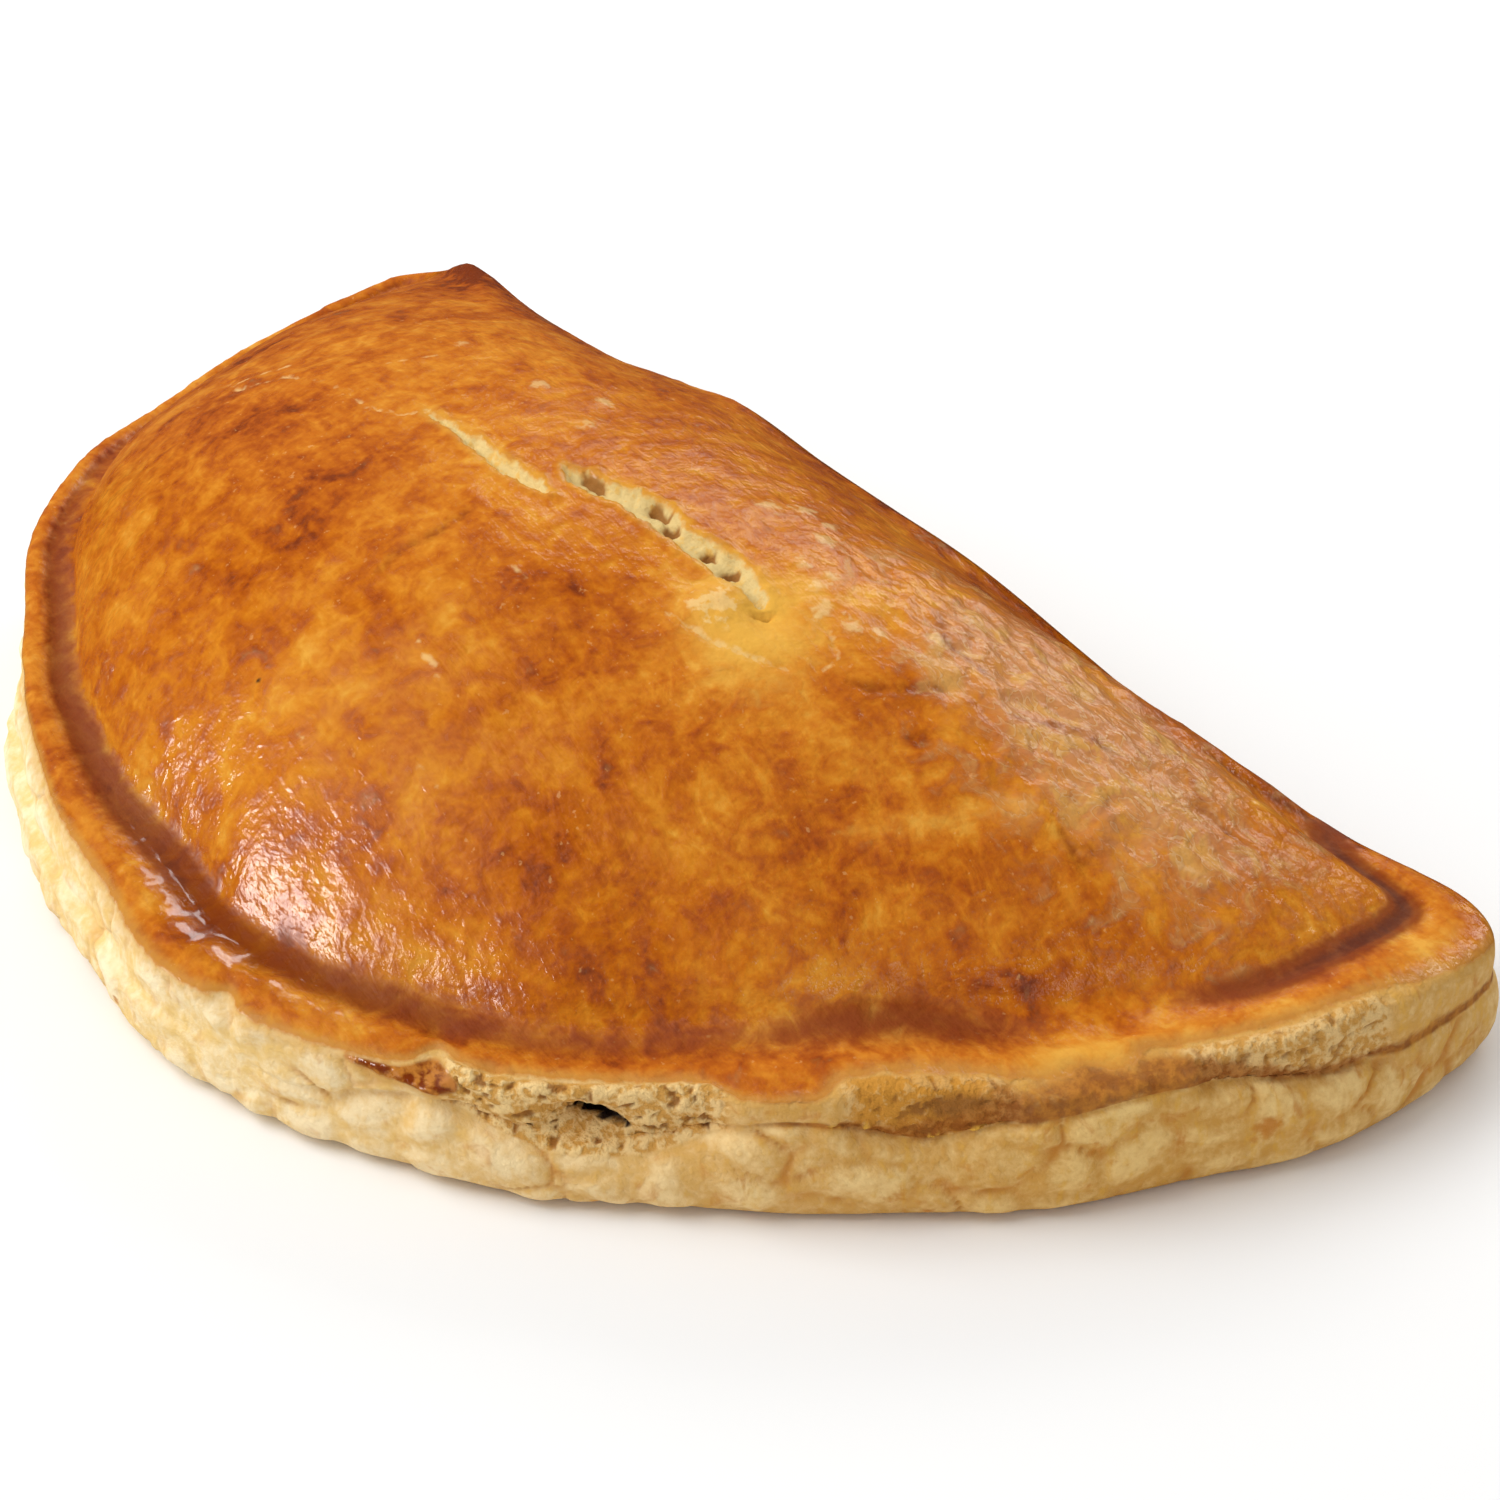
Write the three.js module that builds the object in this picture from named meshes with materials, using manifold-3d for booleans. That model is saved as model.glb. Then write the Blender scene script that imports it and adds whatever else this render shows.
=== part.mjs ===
// A half-moon pastry turnover: a round of dough folded over its filling, the
// curved edge pressed shut, brushed with egg and baked. Millimetres, +Z up.
// +X runs along the fold and +Y from the curved edge to the fold. The origin is
// on the underside, below the middle of the overall box.
import Module from "manifold-3d";
import * as THREE from "three";
import { mergeVertices } from "three/addons/utils/BufferGeometryUtils.js";

// Plan, measured from the crown of the curved edge and the widest line
const LEFT_REACH = 83.1;
const RIGHT_REACH = 79.2;
const CURVED_DEPTH = 79.5; // widest line to the crown of the curved edge
const FOLD_DEPTH = 17; // widest line to the fold
const LEFT_FULLNESS = 1.97; // superellipse powers, 2 is an ellipse
const RIGHT_FULLNESS = 1.74;
const FOLD_FLATNESS = 6;

// Dome
const HEIGHT = 34; // underside to the top
const PEAK = new THREE.Vector2(-8, -24);
const DOME_ROUNDING = { left: 2.3, right: 2, front: 2.4, back: 2.2 };
const DOME_STEEPNESS = { left: 0.69, right: 0.8, front: 0.85, back: 1.1 };
const BLUNTING = Math.PI / 10; // turn over which level lines round off towards the top

// Values that change along the piece are stations of [place, value] on a smooth
// curve. Places along the curved edge count from its crown, positive to the
// right, and places along the fold are the distance across from the crown.
const LIP_HEIGHT = [
  [-130, 12], [-112, 10.9], [-98, 11.4], [-84, 13], [-68, 12.8], [-48, 11.4], [0, 11.6],
  [45, 12], [70, 14.2], [88, 13.4], [118, 14.4], [134, 12.8],
];
const LOWER_LEAF = [ // seam height as a share of the lip's
  [18, 0.5], [30, 0.7], [42, 0.49], [50, 0.5], [60, 0.72], [66, 0.72],
  [74, 0.57], [82, 0.7], [93, 0.79], [103, 0.66], [111, 0.53], [125, 0.52],
];
const CREASE_INSET = [
  [-110, 3.2], [-65, 4.2], [-40, 6.2], [-10, 8.2], [60, 9], [82, 11.4], [102, 9.6],
];
const CREASE_DEPTH = [[-60, 0.9], [20, 0.8], [42, 0.4], [92, 0.4], [106, 0.9]];
const FOLD_SHOULDER = [
  [-82, 19.6], [-75, 20.7], [-69, 19.8], [-62, 18.8], [-55, 18.2], [-48, 19.9],
  [-40, 22.2], [-32, 23.8], [-21, 26], [-9, 24.2], [4, 23.1], [16, 22],
  [27, 17.8], [37, 13.7], [46, 11.3], [58, 11.5], [74, 14.2],
];
const SEAM_OPENING = [[18, 0.2], [33, 1]]; // the two leaves part to the right

// Fold
const NOSE_SHARE = 0.46; // how far the rounded fold leans in, as a share of its height
const NOSE_LEAN = 2.1;
const CORNERS = { left: [-83, -76.5], right: [62, 76] }; // where border and fold blend

// Pressed border
const FOOT_INSET = 3.2; // flat underside to the outline
const DOME_FOOT = 2; // crease to the foot of the dome
const LEDGE = { from: -52, to: 5, runIn: 4, runOut: 20, out: 0.8 }; // lower leaf beyond the lip

// Torn stretches of the curved edge, where the upper leaf has lifted and crumb shows
const TEARS = [
  { from: 31, to: 59, open: 1 },
  { from: 66, to: 84, open: 0.65 },
  { from: 97, to: 119, open: 0.7 },
];
const TEAR_RUN = 3;
const NOTCHES = [
  { at: 9, width: 1.6, depth: 1.4 },
  { at: 31, width: 1.8, depth: 2.2 },
  { at: 90, width: 2, depth: 1.2 },
  { at: 96.5, width: 2, depth: 1.6 },
];
const TEAR_HOLE = { at: 45, width: 3.4, depth: 2.4 };
const STEP = { at: 30, run: 25, depth: 1 }; // top of the lower leaf set back left of here
const STEP_RUN = 2;

// Splits in the glazed skin along the top of the dome, as plan points
const SPLITS = [
  { from: [-30, -26.6], to: [-8.5, -27.2], width: 2.6, depth: 1.4 },
  { from: [-10.5, -23.4], to: [14.5, -22.6], width: 3.6, depth: 1.9 },
  { from: [13, -22.4], to: [24, -24.4], width: 5.4, depth: 1.1 },
];

// Hand-made unevenness: the outline, and the lumps and crags of its side
const EDGE_WOBBLE = [
  { waves: 5, phase: 2, size: 0.8 },
  { waves: 13, phase: 2.6, size: 0.3 },
  { waves: 23, phase: 0.4, size: 0.2 },
];
const LUMPS = 0.3;
const CRAGS = 0.5;

// Mesh
const AROUND = 160;
const DOME_RINGS = 14;
const OUTLINE_SAMPLES = 4000;

const ease = THREE.MathUtils.smoothstep;
const mix = THREE.MathUtils.lerp;
const bell = (distance, width) => Math.exp(-((distance / width) ** 2));

// The value at a place on the smooth curve through stations
function along(stations, place) {
  const last = stations.length - 1;
  const next = stations.findIndex(([at]) => at > place);
  if (next === 0) return stations[0][1];
  if (next < 0) return stations[last][1];
  const slope = (i) => {
    if (i === 0 || i === last) return 0;
    const [before, after] = [stations[i - 1], stations[i + 1]];
    return (after[1] - before[1]) / (after[0] - before[0]);
  };
  const [from, to] = [stations[next - 1], stations[next]];
  const run = to[0] - from[0];
  const t = (place - from[0]) / run;
  const bend = run * t * (1 - t) * ((1 - t) * slope(next - 1) - t * slope(next));
  return mix(from[1], to[1], ease(t, 0, 1)) + bend;
}

// A point of the plan outline, anticlockwise from the right-hand end
function outlinePoint(angle) {
  const c = Math.cos(angle);
  const s = Math.sin(angle);
  const reach = c > 0 ? RIGHT_REACH : LEFT_REACH;
  const depth = s > 0 ? FOLD_DEPTH : CURVED_DEPTH;
  const fullness = c > 0 ? RIGHT_FULLNESS : LEFT_FULLNESS;
  const power = 2 / (s > 0 ? FOLD_FLATNESS : fullness);
  const wobble = EDGE_WOBBLE.reduce((sum, w) => sum + w.size * Math.sin(w.waves * angle + w.phase), 0);
  const grow = 1 + (wobble * ease(-s, -0.2, 0.2)) / CURVED_DEPTH;
  return new THREE.Vector2(
    grow * reach * Math.sign(c) * Math.abs(c) ** power,
    grow * depth * Math.sign(s) * Math.abs(s) ** power,
  );
}

// The outline in even steps, with the distance along the edge from its crown
function evenOutline() {
  const dense = [outlinePoint(0)];
  const walked = [0];
  for (let i = 1; i <= OUTLINE_SAMPLES; i++) {
    dense.push(outlinePoint((i / OUTLINE_SAMPLES) * 2 * Math.PI));
    walked.push(walked[i - 1] + dense[i].distanceTo(dense[i - 1]));
  }
  const length = walked[OUTLINE_SAMPLES];
  const crown = walked[OUTLINE_SAMPLES * 0.75];
  const points = [];
  let i = 0;
  for (let k = 0; k < AROUND; k++) {
    const wanted = (k / AROUND) * length;
    while (walked[i + 1] < wanted) i++;
    const share = (wanted - walked[i]) / (walked[i + 1] - walked[i]);
    const place = wanted < crown - length / 2 ? wanted + length - crown : wanted - crown;
    points.push({ point: dense[i].clone().lerp(dense[i + 1], share), place });
  }
  return points;
}

// How far the upper leaf has lifted, from 0 to 1
function tearAt(place) {
  return TEARS.reduce((most, { from, to, open }) => {
    const inside = ease(place, from, from + TEAR_RUN) - ease(place, to - TEAR_RUN, to);
    return Math.max(most, inside * open);
  }, 0);
}

// Uneven relief, between -1 and 1, at a place along the edge and a height
function uneven(place, height) {
  return Math.sin(1.3 * place + 0.9 * height) * Math.cos(0.47 * place - 1.1 * height);
}

// The section of the pressed border, from the underside to the foot of the
// dome, as inset from the outline and height
function borderSection(place) {
  const lip = along(LIP_HEIGHT, place);
  const crease = along(CREASE_INSET, place);
  const parted = along(SEAM_OPENING, place);
  const creaseDepth = along(CREASE_DEPTH, place);
  const seam = lip * along(LOWER_LEAF, place);
  const upper = lip - seam;
  const open = tearAt(place);
  const notch = NOTCHES.reduce((sum, n) => sum + n.depth * bell(place - n.at, n.width), 0);
  const hole = TEAR_HOLE.depth * bell(place - TEAR_HOLE.at, TEAR_HOLE.width);
  const leftOfStep = 1 - ease(place, STEP.at - STEP_RUN, STEP.at);
  const back = STEP.depth * ease(place, STEP.at - STEP.run, STEP.at) * leftOfStep;
  const ledgeStart = ease(place, LEDGE.from, LEDGE.from + LEDGE.runIn);
  const ledge = LEDGE.out * ledgeStart * (1 - ease(place, LEDGE.to - LEDGE.runOut, LEDGE.to));
  const lump = (height) => LUMPS * uneven(place, height);
  const crag = (height) => CRAGS * open * uneven(2 * place, 2 * height);
  return [
    [FOOT_INSET, 0],
    [1.1, 0.8],
    [0.3 - ledge + lump(2), 0.3 * seam],
    [0.3 - ledge + lump(4) + 0.5 * back, 0.62 * seam],
    [0.4 - ledge + 0.4 * parted + 0.3 * open + lump(5) + back, 0.9 * seam],
    [0.5 + parted + 0.9 * open + back, seam + 0.1],
    [0.7 + 1.1 * parted + 1.7 * open, seam + 0.6],
    [0.9 + 0.6 * parted + 1.6 * open + hole + crag(8), seam + 0.3 * upper],
    [1.1 + 0.3 * parted + 1.6 * open + hole + crag(10), seam + 0.58 * upper],
    [1.6 + 0.5 * ledge + 0.2 * parted + 1.4 * open + notch, seam + 0.82 * upper],
    [0.34 * crease + 0.5 * ledge + 0.8 * open + notch, lip - 0.4],
    [0.54 * crease + 0.3 * open + 0.6 * notch, lip],
    [0.77 * crease, lip - 0.2 - 0.3 * notch],
    [crease, lip - creaseDepth],
    [crease + DOME_FOOT, lip + 0.1],
  ];
}

// The section of the fold: a rounded nose that leans back into the dome
function foldSection(x, stations) {
  const shoulder = along(FOLD_SHOULDER, x);
  const section = [
    [FOOT_INSET, 0],
    [1.1, 0.8],
  ];
  const nose = stations - section.length;
  for (let k = 0; k < nose; k++) {
    const turn = k / (nose - 1);
    section.push([NOSE_SHARE * shoulder * turn ** NOSE_LEAN, mix(2.2, shoulder, turn ** 0.92)]);
  }
  return section;
}

// How far the edge is pressed flat: 1 along the curve, 0 along the fold
function pressedAt(point) {
  if (point.y < 0) return 1;
  return Math.max(1 - ease(point.x, ...CORNERS.left), ease(point.x, ...CORNERS.right));
}

// Share of the dome's height at a reach of 0 (peak) to 1 (foot)
function domeShare(reach, direction, pressed) {
  const side = direction.x < 0 ? "left" : "right";
  const middle = direction.y < 0 ? "front" : "back";
  const turned = (direction.y < 0 ? direction.x ** 2 : 1) * pressed;
  const rounding = mix(DOME_ROUNDING[middle], DOME_ROUNDING[side], turned);
  const steepness = mix(DOME_STEEPNESS[middle], DOME_STEEPNESS[side], turned);
  return (1 - reach ** rounding) ** steepness;
}

// The points over one outline point, from the underside to the foot of the dome
function skirt(outline, k) {
  const { point, place } = outline[k];
  const before = outline[(k + AROUND - 1) % AROUND].point;
  const after = outline[(k + 1) % AROUND].point;
  const tangent = after.clone().sub(before).normalize();
  const outward = new THREE.Vector2(tangent.y, -tangent.x);
  const inward = PEAK.clone().sub(point).normalize();
  const slant = Math.max(0.6, -inward.dot(outward));
  const pressed = pressedAt(point);
  const border = borderSection(place);
  const fold = foldSection(point.x, border.length);
  const points = border.map(([inset, height], station) => {
    const depth = mix(fold[station][0], inset, pressed) / slant;
    const { x, y } = point.clone().addScaledVector(inward, depth);
    return [x, y, mix(fold[station][1], height, pressed)];
  });
  const [footX, footY, height] = points[points.length - 1];
  const far = Math.hypot(footX - PEAK.x, footY - PEAK.y);
  points.unshift([mix(PEAK.x, point.x, 0.5), mix(PEAK.y, point.y, 0.5), 0]);
  return { points, pressed, direction: inward.negate(), far, height };
}

// The foot of the dome, averaged over the directions nearby
function bluntFoot(skirts, k) {
  const around = skirts.map(({ direction }) => direction.angle());
  const turned = (from, to) => Math.atan2(Math.sin(to - from), Math.cos(to - from));
  const blunt = { far: 0, pressed: 0, height: 0 };
  let weights = 0;
  skirts.forEach((other, j) => {
    const span = turned(around[(j + AROUND - 1) % AROUND], around[(j + 1) % AROUND]);
    const weight = span * bell(turned(around[k], around[j]), BLUNTING);
    for (const name in blunt) blunt[name] += weight * other[name];
    weights += weight;
  });
  for (const name in blunt) blunt[name] /= weights;
  return blunt;
}

// A skirt carried on over the dome to just below the peak
function meridian(skirts, k) {
  const { points, direction, far } = skirts[k];
  const [footX, footY, footZ] = points[points.length - 1];
  const blunt = bluntFoot(skirts, k);
  const domePoints = [];
  for (let ring = 1; ring < DOME_RINGS; ring++) {
    const reach = Math.cos((ring / DOME_RINGS) * Math.PI * 0.5);
    const level = (reach * far) / mix(blunt.far, far, reach ** 3);
    const base = mix(blunt.height, footZ, reach ** 4);
    const height = mix(base, HEIGHT, domeShare(level, direction, blunt.pressed));
    domePoints.push([mix(PEAK.x, footX, reach), mix(PEAK.y, footY, reach), height]);
  }
  return [...points, ...domePoints];
}

// The whole piece before its skin splits, closed at the underside and the peak
function bakedGeometry() {
  const outline = evenOutline();
  const skirts = outline.map((_, k) => skirt(outline, k));
  const meridians = skirts.map((_, k) => meridian(skirts, k));
  const rings = meridians[0].length;
  const positions = [PEAK.x, PEAK.y, 0, ...meridians.flat(2), PEAK.x, PEAK.y, HEIGHT];
  const top = positions.length / 3 - 1;
  const at = (k, ring) => 1 + (k % AROUND) * rings + ring;
  const faces = [];
  for (let k = 0; k < AROUND; k++) {
    faces.push(0, at(k + 1, 0), at(k, 0));
    for (let ring = 0; ring < rings - 1; ring++) {
      faces.push(at(k, ring), at(k + 1, ring), at(k + 1, ring + 1));
      faces.push(at(k, ring), at(k + 1, ring + 1), at(k, ring + 1));
    }
    faces.push(at(k, rings - 1), at(k + 1, rings - 1), top);
  }
  const geometry = new THREE.BufferGeometry();
  geometry.setAttribute("position", new THREE.Float32BufferAttribute(positions, 3));
  geometry.setIndex(faces);
  return geometry;
}

// A spindle lying along a split, half sunk in the dome under it
function splitCutter({ from, to, width, depth }, dome) {
  const down = new THREE.Vector3(0, 0, -1);
  const ends = [from, to].map(([x, y]) => {
    const above = new THREE.Vector3(x, y, 2 * HEIGHT);
    return new THREE.Raycaster(above, down).intersectObject(dome)[0].point;
  });
  const run = ends[1].clone().sub(ends[0]);
  const cutter = new THREE.SphereGeometry(1, 12, 10);
  cutter.deleteAttribute("normal");
  cutter.deleteAttribute("uv");
  cutter.scale(run.length() / 2, width / 2, depth);
  const lengthwise = new THREE.Vector3(1, 0, 0);
  cutter.applyQuaternion(new THREE.Quaternion().setFromUnitVectors(lengthwise, run.normalize()));
  cutter.translate(...ends[0].add(ends[1]).divideScalar(2).toArray());
  return mergeVertices(cutter);
}

const wasm = await Module();
wasm.setup();

function solidOf(geometry) {
  const vertProperties = new Float32Array(geometry.getAttribute("position").array);
  const triVerts = new Uint32Array(geometry.index.array);
  return new wasm.Manifold(new wasm.Mesh({ numProp: 3, vertProperties, triVerts }));
}

function geometryOf(solid) {
  const { vertProperties, triVerts } = solid.getMesh();
  const geometry = new THREE.BufferGeometry();
  geometry.setAttribute("position", new THREE.BufferAttribute(vertProperties, 3));
  geometry.setIndex(new THREE.BufferAttribute(triVerts, 1));
  return geometry;
}

function turnoverGeometry() {
  const baked = bakedGeometry();
  const dome = new THREE.Mesh(baked);
  const cutters = SPLITS.map((split) => solidOf(splitCutter(split, dome)));
  const geometry = geometryOf(cutters.reduce((solid, cutter) => solid.subtract(cutter), solidOf(baked)));
  geometry.computeBoundingBox();
  const middle = geometry.boundingBox.getCenter(new THREE.Vector3());
  geometry.translate(-middle.x, -middle.y, -geometry.boundingBox.min.z);
  geometry.computeVertexNormals();
  return geometry;
}

const crust = new THREE.MeshStandardMaterial({ color: 0xc87a22, roughness: 0.35, metalness: 0 });
const turnover = new THREE.Mesh(turnoverGeometry(), crust);
turnover.name = "turnover";

const pastry = new THREE.Group();
pastry.add(turnover);

export default pastry;
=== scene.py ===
import math
from types import SimpleNamespace

import bpy
import numpy as np
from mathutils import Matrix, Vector, noise
from mathutils.geometry import delaunay_2d_cdt


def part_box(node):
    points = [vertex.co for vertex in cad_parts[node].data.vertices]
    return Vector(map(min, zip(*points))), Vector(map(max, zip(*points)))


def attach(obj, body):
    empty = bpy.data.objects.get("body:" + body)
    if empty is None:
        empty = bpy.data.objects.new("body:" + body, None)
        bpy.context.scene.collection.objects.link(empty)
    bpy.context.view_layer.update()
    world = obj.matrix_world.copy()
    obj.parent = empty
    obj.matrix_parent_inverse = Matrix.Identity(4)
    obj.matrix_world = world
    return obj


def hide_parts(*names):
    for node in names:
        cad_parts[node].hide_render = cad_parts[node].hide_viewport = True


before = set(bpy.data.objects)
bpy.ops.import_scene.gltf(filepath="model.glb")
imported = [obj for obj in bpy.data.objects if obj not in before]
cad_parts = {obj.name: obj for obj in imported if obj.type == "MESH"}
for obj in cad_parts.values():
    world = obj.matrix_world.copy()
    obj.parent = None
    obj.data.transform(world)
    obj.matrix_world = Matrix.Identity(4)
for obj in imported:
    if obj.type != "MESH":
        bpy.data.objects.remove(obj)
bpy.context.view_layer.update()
print("frame loaded")

# Shapes are worked out in millimetres on the plan of the dough, x along the fold
# from the crown of the curved edge and y from the widest line, then scaled to metres.
# A point of the side has a place, the distance along the curved edge from its crown,
# and a station, which counts from the foot over the lip to the dome.
mm = 0.001
grainShift = (17.3, -9.1, 5.7)  # moves each seed to another part of the noise
cellShift = (7.7, 3.1, -5.3)


def ease(value, low, high):
    t = np.clip((value - low) / (high - low), 0, 1)
    return t * t * (3 - 2 * t)


def mix(a, b, t):
    return a + (b - a) * t


def bell(distance, width):
    return np.exp(-((distance / width) ** 2))


def band(value, middle, width):
    return bell(value - middle, width)


def oval(plan, x, y, halfLong, halfWide):  # 0 at the middle, 1 on the edge
    return np.hypot((plan[:, 0] - x) / halfLong, (plan[:, 1] - y) / halfWide)


def span(value, start, full, fading, end):  # 1 from full to fading, 0 before start and past end
    return ease(value, start, full) * (1 - ease(value, fading, end))


def along(stations, place):  # smooth curve through (place, value) stations
    at, value = np.array(stations, float).T
    slope = np.zeros_like(value)
    slope[1:-1] = (value[2:] - value[:-2]) / (at[2:] - at[:-2])
    place = np.clip(place, at[0], at[-1])
    i = np.clip(np.searchsorted(at, place, "right") - 1, 0, len(at) - 2)
    run = at[i + 1] - at[i]
    t = (place - at[i]) / run
    bend = run * t * (1 - t) * ((1 - t) * slope[i] - t * slope[i + 1])
    return mix(value[i], value[i + 1], t * t * (3 - 2 * t)) + bend


def grain(points, size, seed, octaves=1):  # uneven relief between about -1 and 1
    shift = Vector([part * seed for part in grainShift])
    scaled = (points / size).tolist()
    return np.array([noise.fractal(Vector(p) + shift, 1.0, 2.0, octaves) for p in scaled])


def cells(points, size, seed):  # distance to the nearest and second nearest cell centre
    shift = Vector([part * seed for part in cellShift])
    scaled = (points / size).tolist()
    return np.array([noise.voronoi(Vector(p) + shift)[0][:2] for p in scaled]).T


outline = {
    "leftReach": 83.1, "rightReach": 79.2,
    "curvedDepth": 79.5, "foldDepth": 17,
    "leftFullness": 1.97, "rightFullness": 1.74, "foldFlatness": 6,
    "wobbles": [(5, 2, 0.8), (13, 2.6, 0.3), (23, 0.4, 0.2)],  # waves, phase, size
    "wobbleFade": 0.2,
    "fineStretch": (-90, -78, 128, 140), "fineStep": 0.37, "coarseStep": 0.8,
    "samples": 8000,
}


def outlinePoints(angle):
    o = outline
    c, s = np.cos(angle), np.sin(angle)
    reach = np.where(c > 0, o["rightReach"], o["leftReach"])
    depth = np.where(s > 0, o["foldDepth"], o["curvedDepth"])
    fullness = np.where(c > 0, o["rightFullness"], o["leftFullness"])
    power = 2 / np.where(s > 0, o["foldFlatness"], fullness)
    wobble = sum(size * np.sin(waves * angle + phase) for waves, phase, size in o["wobbles"])
    grow = 1 + wobble * ease(-s, -o["wobbleFade"], o["wobbleFade"]) / o["curvedDepth"]
    x = grow * reach * np.sign(c) * np.abs(c) ** power
    y = grow * depth * np.sign(s) * np.abs(s) ** power
    return np.stack([x, y], -1)


def sampledOutline():  # points closer together along the curved edge, with their place on it
    o = outline
    dense = outlinePoints(np.linspace(0, 2 * np.pi, o["samples"] + 1))
    step = np.linalg.norm(np.diff(dense, axis=0), axis=1)
    walked = np.concatenate([[0], np.cumsum(step)])
    length, crown = walked[-1], walked[o["samples"] * 3 // 4]

    def placed(distance):
        place = distance - crown
        return np.where(place < -length / 2, place + length, place)

    spacing = mix(o["coarseStep"], o["fineStep"], span(placed(walked), *o["fineStretch"]))
    count = np.concatenate([[0], np.cumsum(step / spacing[1:])])
    wanted = np.linspace(0, count[-1], int(count[-1]) + 1)[:-1]
    pick = np.interp(wanted, count, walked)
    points = np.stack([np.interp(pick, walked, dense[:, k]) for k in (0, 1)], -1)
    return points, placed(pick)


border = {
    "lipHeight": [(-130, 12), (-112, 10.9), (-98, 11.4), (-84, 13), (-68, 12.8), (-48, 11.4), (0, 11.6),
        (45, 12), (70, 14.2), (88, 13.4), (118, 14.4), (134, 12.8)],
    "creaseInset": [(-110, 3.2), (-65, 4.2), (-40, 6.2), (-10, 8.2), (60, 9), (82, 11.4), (102, 9.6)],
    "seamOpening": [(18, 0.2), (33, 1), (58, 1), (70, 0.55), (100, 0.45), (140, 0.4)],
    "lowerLeaf": [(18, 0.5), (30, 0.7), (42, 0.49), (50, 0.5), (60, 0.72), (66, 0.72), (74, 0.57),
        (82, 0.71), (93, 0.82), (103, 0.72), (111, 0.59), (125, 0.56)],  # share of the lip
    "creaseDepth": [(-60, 0.6), (20, 0.55), (42, 0.35), (92, 0.35), (106, 0.55)],
    "footInset": 3.2, "toe": (1.1, 0.8), "domeFoot": 2,  # the toe's inset and height
    "ledge": (-52, -48, -15, 5), "ledgeOut": 0.8,  # lower leaf showing beyond the lip
    "tears": [(31, 34, 56, 59, 1), (66, 69, 81, 84, 0.65), (97, 100, 116, 119, 0.7)],  # last, how open
    "notches": [(9, 1.6, 1.4), (31, 1.8, 2.2), (90, 2, 1.2), (96.5, 2, 1.6)],  # at, width, depth
    "holes": [(45, 3.4, 2.4)],
    "step": (5, 30, 28, 30), "stepBack": 1,
}


def tearAt(place):
    return np.max([opened * span(place, *run) for *run, opened in border["tears"]], axis=0)


def borderSection(place):  # inset from the outline and height at each station
    b = border
    lip, crease = along(b["lipHeight"], place), along(b["creaseInset"], place)
    parted, opened = along(b["seamOpening"], place), tearAt(place)
    seam = lip * along(b["lowerLeaf"], place)
    upper = lip - seam
    notch, hole = (sum(depth * band(place, at, width) for at, width, depth in b[dents])
                   for dents in ("notches", "holes"))
    back = b["stepBack"] * span(place, *b["step"])
    ledge = b["ledgeOut"] * span(place, *b["ledge"])
    creaseDepth = along(b["creaseDepth"], place)
    toeInset, toeHeight = b["toe"]
    none = np.zeros_like(place)
    rows = [
        (b["footInset"] + none, none),
        (toeInset + none, toeHeight + none),
        (0.3 - ledge, 0.3 * seam),
        (0.3 - ledge + 0.5 * back, 0.62 * seam),
        (0.4 - ledge + 0.4 * parted + 0.3 * opened + back, 0.9 * seam),
        (0.5 + 1.0 * parted + 0.9 * opened + back, seam + 0.1),
        (0.7 + 1.1 * parted + 1.7 * opened, seam + 0.6),
        (0.9 + 0.6 * parted + 1.6 * opened + hole, seam + 0.3 * upper),
        (1.1 + 0.3 * parted + 1.6 * opened + hole, seam + 0.58 * upper),
        (1.6 + 0.5 * ledge + 0.2 * parted + 1.4 * opened + notch, seam + 0.82 * upper),
        (0.34 * crease + 0.5 * ledge + 0.8 * opened + notch, lip - 0.4),
        (0.54 * crease + 0.3 * opened + 0.6 * notch, lip),
        (0.77 * crease, lip - 0.2 - 0.3 * notch),
        (crease, lip - creaseDepth),
        (crease + b["domeFoot"], lip + 0.1),
    ]
    return np.array([r[0] for r in rows]), np.array([r[1] for r in rows])


fold = {
    "shoulder": [(-82, 19.6), (-75, 20.7), (-69, 19.8), (-62, 18.8), (-55, 18.2), (-48, 19.9),
        (-40, 22.2), (-32, 23.8), (-21, 26), (-9, 24.2), (4, 23.1), (16, 22), (27, 17.8), (37, 13.7),
        (46, 11.3), (58, 11.5), (74, 14.2)],
    "noseShare": 0.46, "noseLean": 2.1,  # how far the nose leans in, as a share of its height
    "noseFoot": 2.2, "noseRise": 0.92,
    "leftCorner": (-83, -76.5), "rightCorner": (62, 76),
}


def foldSection(x, count):
    shoulder = along(fold["shoulder"], x)
    turn = np.linspace(0, 1, count - 2)[:, None] + 0 * x
    inset = fold["noseShare"] * shoulder * turn ** fold["noseLean"]
    height = mix(fold["noseFoot"], shoulder, turn ** fold["noseRise"])
    none = np.zeros((1, len(x)))
    toeInset, toeHeight = border["toe"]
    insets = np.vstack([border["footInset"] + none, toeInset + none, inset])
    return insets, np.vstack([none, toeHeight + none, height])


def pressedAt(points):
    x, y = points.T
    corner = np.maximum(1 - ease(x, *fold["leftCorner"]), ease(x, *fold["rightCorner"]))
    return np.where(y < 0, 1.0, corner)


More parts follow.
